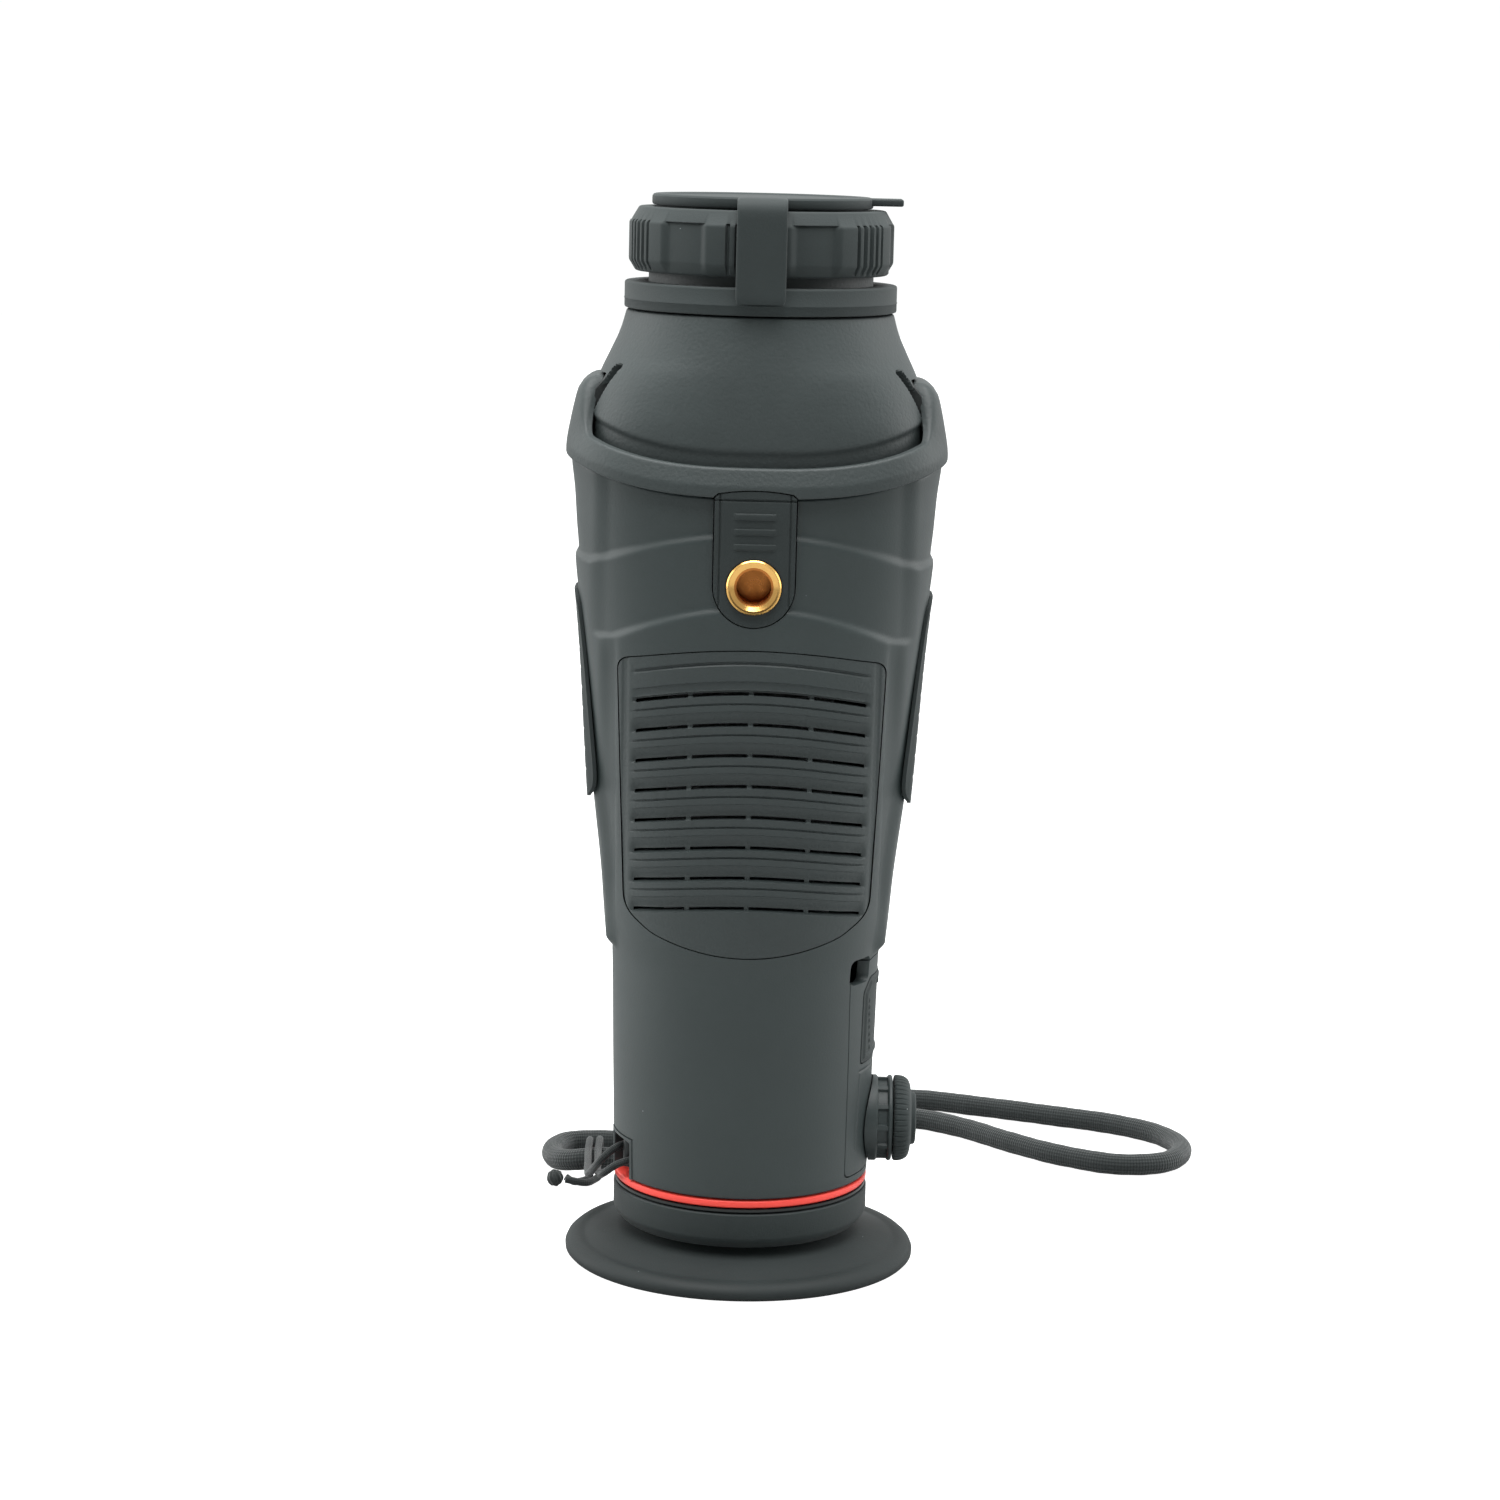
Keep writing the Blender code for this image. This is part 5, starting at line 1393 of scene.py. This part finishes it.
# %% [markdown]
# ## Objective end
#
# The focus ring's grip repeats six times: a wide rib, a smooth hollow for the finger, and a group
# of narrow grooves. Instead of cutting fifty grooves, the ring is turned with many sides and each
# point is moved in by a function of its angle, so ribs and ramps are as soft as they need to be.

# %% Focus ring
RING_PERIODS = 6
FINE_PERIOD = 4.35


def grip_depth(angle):
    """Depth of the grip at an angle in degrees, counted from the middle of a hollow."""
    period = 360 / RING_PERIODS
    turn = (angle + period / 2) % period - period / 2
    hollow = 0.9 * (1 - smooth(abs(turn), 8.2, 12.3))
    fine = (period / 2 - abs(turn)) if abs(turn) > 20.8 else None
    groove = 0.0
    if fine is not None:
        across = (fine + FINE_PERIOD / 2) % FINE_PERIOD - FINE_PERIOD / 2
        groove = 0.75 * (1 - smooth(abs(across), 0.7, 1.25))
    return max(hollow, groove)


ring = lathe("focus_grip", [
    (24.55, 200.95), (24.85, 200.8), (25.05, 200.5), (25.1, 200.2), (25.1, 197.0), (25.1, 193.8),
    (25.05, 193.4), (24.9, 193.1), (24.0, 191.7), (23.75, 191.4), (23.5, 191.3), (21.5, 191.3),
    (21.5, 197.5), (20.2, 197.5), (20.2, 203.0), (20.4, 203.25), (20.7, 203.3), (22.9, 203.3),
    (23.15, 203.22), (23.35, 203.0),
], sides=720)
for vertex in ring.data.vertices:
    x, y, z = vertex.co / MM
    radius = math.hypot(x, y)
    if radius > 24.75 and z > 192.6:
        angle = math.degrees(math.atan2(x, -y)) - 24.0
        depth = grip_depth(angle)
        share = (radius - depth) / radius
        vertex.co.x *= share
        vertex.co.y *= share
finish(ring, grip_rubber, "focus_ring", "rubber", "focus_ring", angle=40)

# %% Objective cell and lens
cell = lathe("objective_tube", [
    (18.4, 199.7), (18.4, 162.0), (16.6, 162.0), (16.6, 170.6), (15.2, 170.6), (15.2, 172.0),
    (16.6, 172.0), (16.6, 199.75), (16.8, 200.0), (18.1, 200.0),
], sides=144)
slot = box("guide_slot", (-1.5, 12, 184.0), (1.5, 22, 190.0), 0.0)
cut(cell, slot)
finish(cell, black_anodised, "objective_cell", "anodised_black", "objective_cell", angle=30)
front = lathe("objective_glass", [
    (0, 195.6), (16.2, 195.2), (16.3, 195.3), (16.3, 198.7), (16.2, 198.85), (14.0, 199.05),
    (10.0, 199.35), (5.0, 199.54), (0, 199.6),
], sides=128, closed=False)
finish(front, coated_lens, "objective_cell", "lens_glass", "objective_front_lens", angle=30)

# %% [markdown]
# The cap hangs on a band round the lens tube. Its strap stands up along the band and the ring,
# bends over the rim and lies on the cap in one smooth turn. It spans two bodies, so its place is
# baked into its mesh. The strap is a swept rounded strip, with the same rows on both sides.

# %% Tether band and strap
band = lathe("tether", [
    (25.7, 189.0), (25.62, 189.25), (25.4, 189.4), (21.8, 189.4), (21.5, 189.2), (21.5, 184.6),
    (21.8, 184.4), (25.35, 184.4), (25.6, 184.5), (25.7, 184.75), (25.7, 186.05), (25.78, 186.15),
    (25.78, 186.25), (25.7, 186.35),
], sides=192)
finish(band, grip_rubber, "tether_band", "rubber", "tether_band", angle=40)
STRAP_HALF = 4.6
STRAP_THICKNESS = 1.5
STRAP_PATH = [(-26.75, 186.6), (-26.75, 190), (-26.75, 194), (-26.75, 198), (-26.75, 201.0),
              (-26.72, 202.4), (-26.55, 203.5), (-26.1, 204.35), (-25.3, 204.85), (-24.2, 205.05),
              (-22.5, 205.1), (-20.5, 205.12), (-18.6, 205.12), (-17.0, 205.12)]


def strap_route(count):
    """Places along the strap's middle, with the direction of travel, evenly spaced."""
    points = [Vector(p) for p in soften(STRAP_PATH, 1.0, 3, cyclic=False)]
    lengths = [0.0]
    for a, b in zip(points, points[1:]):
        lengths.append(lengths[-1] + (b - a).length)
    route = []
    for target in spread(0, lengths[-1], count):
        k = max(i for i in range(len(points) - 1) if lengths[i] <= target + 1e-9)
        share = (target - lengths[k]) / max(1e-9, lengths[k + 1] - lengths[k])
        route.append((points[k].lerp(points[k + 1], share), (points[k + 1] - points[k]).normalized()))
    return route


strap_steps = 90
route = strap_route(strap_steps)
section_line = superellipse(STRAP_HALF, STRAP_THICKNESS / 2, 5.0, count=48)


def strap_place(column, row):
    (middle, way) = route[row]
    across, out = section_line[column % len(section_line)]
    end = 1.0
    for gap in (row, strap_steps - 1 - row):
        if gap < 5:
            end = math.sqrt(max(0.0, 1 - ((5 - gap) / 5.6) ** 2))
    side = Vector((way.y, -way.x))
    point = middle - side * out * (0.6 + 0.4 * end)
    return Vector((across * (0.86 + 0.14 * end), point.x, point.y))


strap = placed_grid("strap", list(range(len(section_line) + 1)), list(range(strap_steps)),
                    strap_place)
edit(strap)
bpy.ops.mesh.select_all(action="DESELECT")
bpy.ops.mesh.select_mode(type="EDGE")
bpy.ops.mesh.select_non_manifold()
bpy.ops.mesh.edge_face_add()
leave_edit()
finish(strap, grip_rubber, ("tether_band", "lens_cap"), "rubber", "cap_strap", angle=40,
       blend=dict(start=(0, -0.0268, 0.2012), end=(0, -0.0252, 0.2050)))

# %% Lens cap
cap = lathe("cap_disc", [
    (0, 205.35), (12.0, 205.38), (17.2, 205.4), (17.6, 205.45), (17.9, 205.62), (18.4, 205.7),
    (20.1, 205.7), (20.5, 205.6), (20.75, 205.3), (20.8, 204.9), (20.8, 204.0), (20.65, 203.7),
    (20.4, 203.6), (19.9, 203.6), (19.9, 202.4), (19.7, 202.2), (0, 202.2),
], sides=192, closed=False)
tab = box("pull_tab", (15.0, -4.0, 204.2), (26.4, 4.0, 205.55), 0.4)
for vertex in tab.data.vertices:
    beyond = smooth(vertex.co.x / MM, 21.0, 26.4)
    vertex.co.y *= 1 - 0.12 * beyond
cut(cap, tab, "UNION")
finish(cap, grip_rubber, "lens_cap", "rubber", "lens_cap", angle=30)

# %% [markdown]
# ## The focusing side
#
# A panel on the +X side holds the focusing knob and the rubber cover of the charging port. Panel,
# cover and pads are sheets over the same surface as the body, so they sit flush in it. The knob's
# foot follows the round barrel, its waist has a row of shallow windows, and the disc on top is
# knurled with fine ticks.

# %% Sheets on the body
def sheet(name, across, heights, place, thickness, way):
    """A grid laid by place, given a thickness along way (a direction in millimetres)."""
    obj = placed_grid(name, across, heights, place)
    edit(obj)
    bpy.ops.mesh.extrude_region_move(
        TRANSFORM_OT_translate={"value": tuple(Vector(way) * thickness * MM)})
    leave_edit()
    return obj


PORT = (11.6, 41.0, 57.6)    # half width, bottom, top


def port_outline(grow=0.0):
    """A rectangle with its upper front corner cut off."""
    half, bottom, top = PORT[0] + grow, PORT[1] - grow, PORT[2] + grow
    return soften([(-half, bottom), (half, bottom), (half, top), (-half + 2.6, top),
                   (-half, top - 2.6)], 1.0, 4)


def panel_place(y, height):
    line = in_band(abs(y), 11.55, 11.85, 0.1) * in_band(height, 24.0, 39.5, 0.3)
    line = max(line, in_band(height, 39.3, 39.6, 0.1) * (1 - smooth(abs(y), 11.6, 11.8)))
    return flank(y, height, 0.02 - 0.3 * line)


panel = sheet("panel_skin", spread(-16.8, 16.8, 141), spread(17.8, 62.4, 150), panel_place, 2.3,
              (-1, 0, 0))
cut(panel, prism("panel_edge", panel_outline(), 10, 45, along="X"), "INTERSECT")
cut(panel, prism("port_hole", port_outline(SEAM_GAP), 10, 45, along="X"))
cut(panel, lathe("shaft_hole", shaft_bore, sides=64, closed=False, place=shaft_way))
cut(panel, box("finger_notch", (19.2, -16.2, 57.2), (40, -10.1, 62.4), 1.3))
round_edges(panel, 0.12, angle=60, segments=2)
finish(panel, shell_plastic, "housing", "matte_plastic", "side_panel", angle=30)

# %% Port cover
DOTS = [(-9.1 + 0.19 * i, 53.0 - 1.36 * i) for i in range(8)]


def port_place(y, height):
    half, bottom, top = PORT
    edge = min(half - abs(y), height - bottom, top - height)
    corner = ((y + half) + (top - height) - 2.6) / math.sqrt(2)
    edge = min(edge, corner)
    frame_line = in_band(edge, 0.8, 1.5, 0.12)
    dots = 0.0
    for dot_y, dot_z in DOTS:
        dots = max(dots, 1 - smooth(math.hypot(y - dot_y, height - dot_z), 0.32, 0.5))
    tab = in_band(height, top - 2.6, top - 1.9, 0.12) * (1 - smooth(abs(y - 2), 4.6, 4.9))
    return flank(y, height, 0.1 + 0.28 * frame_line + 0.22 * dots + 0.25 * tab)


cover = sheet("port_skin", spread(-12.2, 12.2, 124), spread(40.4, 58.2, 104), port_place, 2.2,
              (-1, 0, 0))
cut(cover, prism("port_edge", port_outline(), 10, 45, along="X"), "INTERSECT")
round_edges(cover, 0.12, angle=60, segments=2)
finish(cover, grip_rubber, "port_cover", "rubber", "port_cover", angle=30)

# %% Dioptre knob
base = lathe("knob_foot", [
    (8.4, 25.4), (8.4, 26.2), (8.35, 26.35), (8.2, 26.5), (8.15, 26.6), (8.15, 26.7), (8.15, 28.4),
    (8.15, 28.5), (8.25, 28.6), (8.35, 28.7), (8.4, 28.85), (8.35, 29.2), (8.1, 29.4), (5.3, 29.4),
    (5.3, 25.4),
], sides=240, place=shaft_way)
KNOB_HEIGHT = 27.3
for vertex in base.data.vertices:
    x, y, z = vertex.co / MM
    if x < 25.45:
        vertex.co.x = flank(y, z, 0.32).x * MM
    around = math.degrees(math.atan2(z - KNOB_HEIGHT, y)) % 30 - 15
    if 26.6 < x < 28.5 and math.hypot(y, z - KNOB_HEIGHT) > 7:
        depth = 0.55 * (1 - smooth(abs(around), 10.5, 11.5))
        share = 1 - depth / math.hypot(y, z - KNOB_HEIGHT)
        vertex.co.y *= share
        vertex.co.z = (KNOB_HEIGHT + (z - KNOB_HEIGHT) * share) * MM
finish(base, shell_plastic, "housing", "matte_plastic", "diopter_base", angle=30)
knob = lathe("knob_disc", [
    (0, 29.7), (7.9, 29.7), (8.2, 29.8), (8.35, 30.0), (8.4, 30.3), (8.3, 31.2), (8.1, 31.8),
    (7.7, 32.4), (7.2, 32.75), (6.4, 33.0), (5.5, 33.1), (5.25, 33.2), (5.1, 33.5), (5.1, 33.7),
    (4.95, 33.95), (4.6, 34.08), (2.2, 34.1), (2.0, 34.0), (1.8, 33.9), (0, 33.9),
], sides=480, closed=False, place=shaft_way)
for vertex in knob.data.vertices:
    x, y, z = vertex.co / MM
    radius = math.hypot(y, z - KNOB_HEIGHT)
    if radius > 7.9 and x < 32.3:
        around = math.degrees(math.atan2(z - KNOB_HEIGHT, y)) % 7.5 - 3.75
        share = 1 - 0.16 * (1 - smooth(abs(around), 0.5, 1.2)) / radius
        vertex.co.y *= share
        vertex.co.z = (KNOB_HEIGHT + (z - KNOB_HEIGHT) * share) * MM
finish(knob, grip_rubber, "diopter_knob", "rubber", "diopter_knob", angle=35)
shaft = lathe("knob_shaft", [
    (0, low("diopter_shaft").x), (4.7, low("diopter_shaft").x), (5.0, low("diopter_shaft").x + 0.3),
    (5.0, 29.3), (4.9, 29.4), (0, 29.4),
], sides=64, closed=False, place=shaft_way)
pin_way = Matrix.Translation((0, 0.0032, 0.0273)) @ Matrix.Rotation(math.pi / 2, 4, "Y")
shaft_end = low("diopter_shaft").x
cut(shaft, lathe("pin_hole", [(0, shaft_end - 2), (1.3, shaft_end - 2), (1.3, shaft_end + 2.6),
                              (0, shaft_end + 2.6)], sides=32, closed=False, place=pin_way))
finish(shaft, plain_steel, "diopter_knob", "steel", "diopter_shaft", angle=30)

# %% [markdown]
# ## Eyepiece cell, lug and pads
#
# The eye lens sits in a black tube that slides as the knob turns. The lug for the wrist cord is a
# pocket in the barrel with an upright pin, and its outline follows the barrel. The side pads are
# thin strips of soft rubber with shallow grooves for the hand.

# %% Eyepiece cell and lenses
eye_cell = lathe("eye_tube", [
    (16.1, 37.7), (16.1, 17.5), (15.9, 17.2), (12.4, 17.2), (12.2, 17.4), (12.2, 18.0), (12.3, 18.1),
    (13.5, 18.1), (13.5, 37.8), (13.7, 38.0), (15.9, 38.0),
], sides=128)
cut(eye_cell, box("pin_slot", (10, 0.9, 25.95), (20, 4.7, 28.65)))
finish(eye_cell, black_anodised, "eyepiece_cell", "anodised_black", "eyepiece_cell", angle=30)
eye_lens = lathe("eye_lens_glass", [
    (0, 18.4), (13.0, 18.4), (13.2, 18.6), (13.2, 20.4), (11.0, 21.3), (8.0, 22.1), (4.0, 22.65),
    (0, 22.8),
], sides=96, closed=False)
finish(eye_lens, eye_glass, "eyepiece_cell", "lens_glass", "eye_lens", angle=30)

# %% Lug
LUG_INNER = 18.9
lug = box("lug_block", (LUG_INNER, -6.0, 17.35), (28, 6.0, 25.3), 0.0, LUG_ANGLE)
barrel_skin = rolled("barrel_skin", 160, (lambda a, h: ring_point(BODY, a, h, 0.1), [12.0, 34.0]),
                     (lambda a, h: Vector((math.cos(a), math.sin(a), h)), [34.0, 12.0]))
cut(lug, barrel_skin, "INTERSECT")
cut(lug, box("pocket", (LUG_INNER + 1.0, -4.9, lug_middle - 2.9), (40, 4.9, lug_middle + 2.9), 0.5,
             LUG_ANGLE))
cut(lug, box("mouth", (21.8, -4.9, 14.0), (40, 4.9, lug_middle), 0.3, LUG_ANGLE))
cut(lug, box("rim_step", (24.35, -5.5, lug_middle - 9), (40, 5.5, lug_middle + 3.5), 0.6, LUG_ANGLE))
round_edges(lug, 0.15, angle=50, segments=2)
finish(lug, shell_plastic, "housing", "matte_plastic", "strap_lug", angle=30)
pin_middle = (low("strap_lug_pin") + high("strap_lug_pin")) / 2
pin_low, pin_high = low("strap_lug_pin").z, high("strap_lug_pin").z
lug_pin = lathe("lug_pin", [(0, pin_low), (1.0, pin_low), (1.1, pin_low + 0.1),
                            (1.1, pin_high - 0.1), (1.0, pin_high), (0, pin_high)], sides=48,
                closed=False, place=Matrix.Translation((pin_middle.x * MM, pin_middle.y * MM, 0)))
finish(lug_pin, black_anodised, "housing", "steel", "strap_lug_pin", angle=30)

# %% Side pads
PAD_LOW, PAD_HIGH = 90.5, 131.5
for side, name in ((1, "right"), (-1, "left")):
    def pad_place(y, height):
        groove = 0.2 * max(in_band(height, g - 0.35, g + 0.35, 0.2) for g in range(96, 130, 4))
        groove *= 1 - smooth(abs(y), 6.2, 6.6)
        proud = 1.25 - 0.5 * smooth(height, 92, 128)
        point = flank(y, height, proud - groove)
        return Vector((side * point.x, y, height))

    pad = sheet(name + "_pad", spread(-9.6, 9.6, 60), spread(89.5, 132.5, 170), pad_place, 0.7,
                (-side, 0, 0))
    middle = (PAD_LOW + PAD_HIGH) / 2
    outline = [(y, z - 0.024 * y * y * (1 if z > middle else -1)) for y, z in
               superellipse(9.0, (PAD_HIGH - PAD_LOW) / 2, 9.0, (0, middle), 96)]
    edge = prism(name + "_pad_edge", outline, side * 20, side * 50, along="X")
    cut(pad, edge, "INTERSECT")
    round_edges(pad, 0.22, angle=60, segments=3)
    finish(pad, grip_rubber, "housing", "rubber", name + "_side_pad", angle=30)

# %% [markdown]
# ## Buttons
#
# Four soft buttons stand in a strip on the top, which is the +Y side. Each slides a little when
# pressed. Their marks are plain raised shapes: a dot, a cross, bars and two dots.

# %% Surround and buttons
BUTTONS = (("power", 76.0), ("range", 90.0), ("menu", 104.0), ("zoom", 118.0))


def back(x, height, offset=0.0):
    """A point on the +Y side."""
    point = underside(x, height, offset, flat=True)
    return Vector((x, -point.y, height))


strip = superellipse(8.5, 30.4, 9.0, (0, 97.0), 96)
wide_strip = superellipse(8.5 + SEAM_GAP, 30.4 + SEAM_GAP, 9.0, (0, 97.0), 96)
recess = sheet("recess", spread(-10, 10, 24), spread(64, 130, 60),
               lambda x, h: back(x, h, -1.1), 8, (0, 1, 0))
cut(recess, prism("recess_edge", wide_strip, 15, 45), "INTERSECT")
holes = [prism("hole", superellipse(5.8, 4.3, 5.0, (0, height)), 10, 45) for _, height in BUTTONS]
button_holes = join(*holes)
cut(housing, recess)
cut(housing, button_holes, spare=True)
only(housing)
bpy.ops.object.shade_smooth_by_angle(angle=math.radians(40))


def surround_place(x, height):
    groove = 0.25 * in_band(8.5 - abs(x), 1.0, 1.3, 0.1)
    return back(x, height, 0.3 - groove)


surround = sheet("button_strip", spread(-9, 9, 91), spread(66, 128, 120), surround_place, 1.1,
                 (0, -1, 0))
cut(surround, prism("strip_edge", strip, 15, 45), "INTERSECT")
cut(surround, button_holes)
round_edges(surround, 0.15, angle=60, segments=2)
finish(surround, grip_rubber, "housing", "rubber", "button_surround", angle=30)

MARKS = {
    "power": [(-0.9, -0.9, 0.9, 0.9)],
    "range": [(-1.7, -0.3, 1.7, 0.3), (-0.3, -1.7, 0.3, 1.7)],
    "menu": [(-1.6, 0.75, 1.6, 1.25), (-1.6, -0.25, 1.6, 0.25), (-1.6, -1.25, 1.6, -0.75)],
    "zoom": [(-2.0, -0.5, -1.0, 0.5), (1.0, -0.5, 2.0, 0.5)],
}
for name, height in BUTTONS:
    start, end = low(name + "_button"), high(name + "_button")
    button = prism(name + "_cap", superellipse(5.5, 4.0, 5.0, (0, height), 72), start.y + 1.6, end.y)
    round_edges(button, 0.55, angle=60, segments=4)
    flange = prism("flange", superellipse(6.7, 5.2, 5.0, (0, height), 72), start.y, start.y + 1.61)
    round_edges(flange, 0.2, angle=60, segments=2)
    cut(button, flange, "UNION")
    for x0, z0, x1, z1 in MARKS[name]:
        mark = box("mark", (x0, end.y - 0.5, height + z0), (x1, end.y + 0.15, height + z1), 0.12)
        cut(button, mark, "UNION")
    finish(button, grip_rubber, name + "_button", "rubber", name + "_button", angle=35)

# %% [markdown]
# ## What stays from the CAD model
#
# The parts inside keep their CAD shape, because only a glimpse of them shows through the vent
# and the lenses. They get a finish of their own: cast metal for the heat sink and the sensor,
# green board, wrapped battery, and steel for screws and pins.

# %% Finishes for the kept parts
KEPT = {
    "screw": plain_steel, "cradle": dark_inside, "board": circuit_board, "display": circuit_board,
    "battery": battery_wrap, "heat_sink": cast_aluminium, "sensor": cast_aluminium,
    "laser": cast_aluminium, "pin": plain_steel,
    "socket": plain_steel, "deck": black_anodised, "retainer": black_anodised, "lens": eye_glass,
}
for name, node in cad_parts.items():
    match = next((key for key in KEPT if key in name), None)
    node.data.materials.clear()
    node.data.materials.append(KEPT[match] if match else dark_inside)

# %% Floor
bpy.ops.object.select_all(action="DESELECT")
bpy.ops.mesh.primitive_plane_add(size=6)
floor = bpy.context.object
floor.name = "floor"
floor.location.z = -0.00005
floor_paper = bpy.data.materials.new("floor_paper")
floor_paper.use_nodes = True
paper = floor_paper.node_tree.nodes["Principled BSDF"]
paper.inputs["Base Color"].default_value = (0.42, 0.43, 0.43, 1)
paper.inputs["Roughness"].default_value = 0.9
paper.inputs["Emission Color"].default_value = (1, 1, 1, 1)
seen = add(floor_paper.node_tree, "LightPath")
joined(floor_paper.node_tree, (seen.outputs["Is Camera Ray"], paper.inputs["Emission Strength"]))
floor.data.materials.append(floor_paper)

# %% Update the scene
bpy.context.view_layer.update()
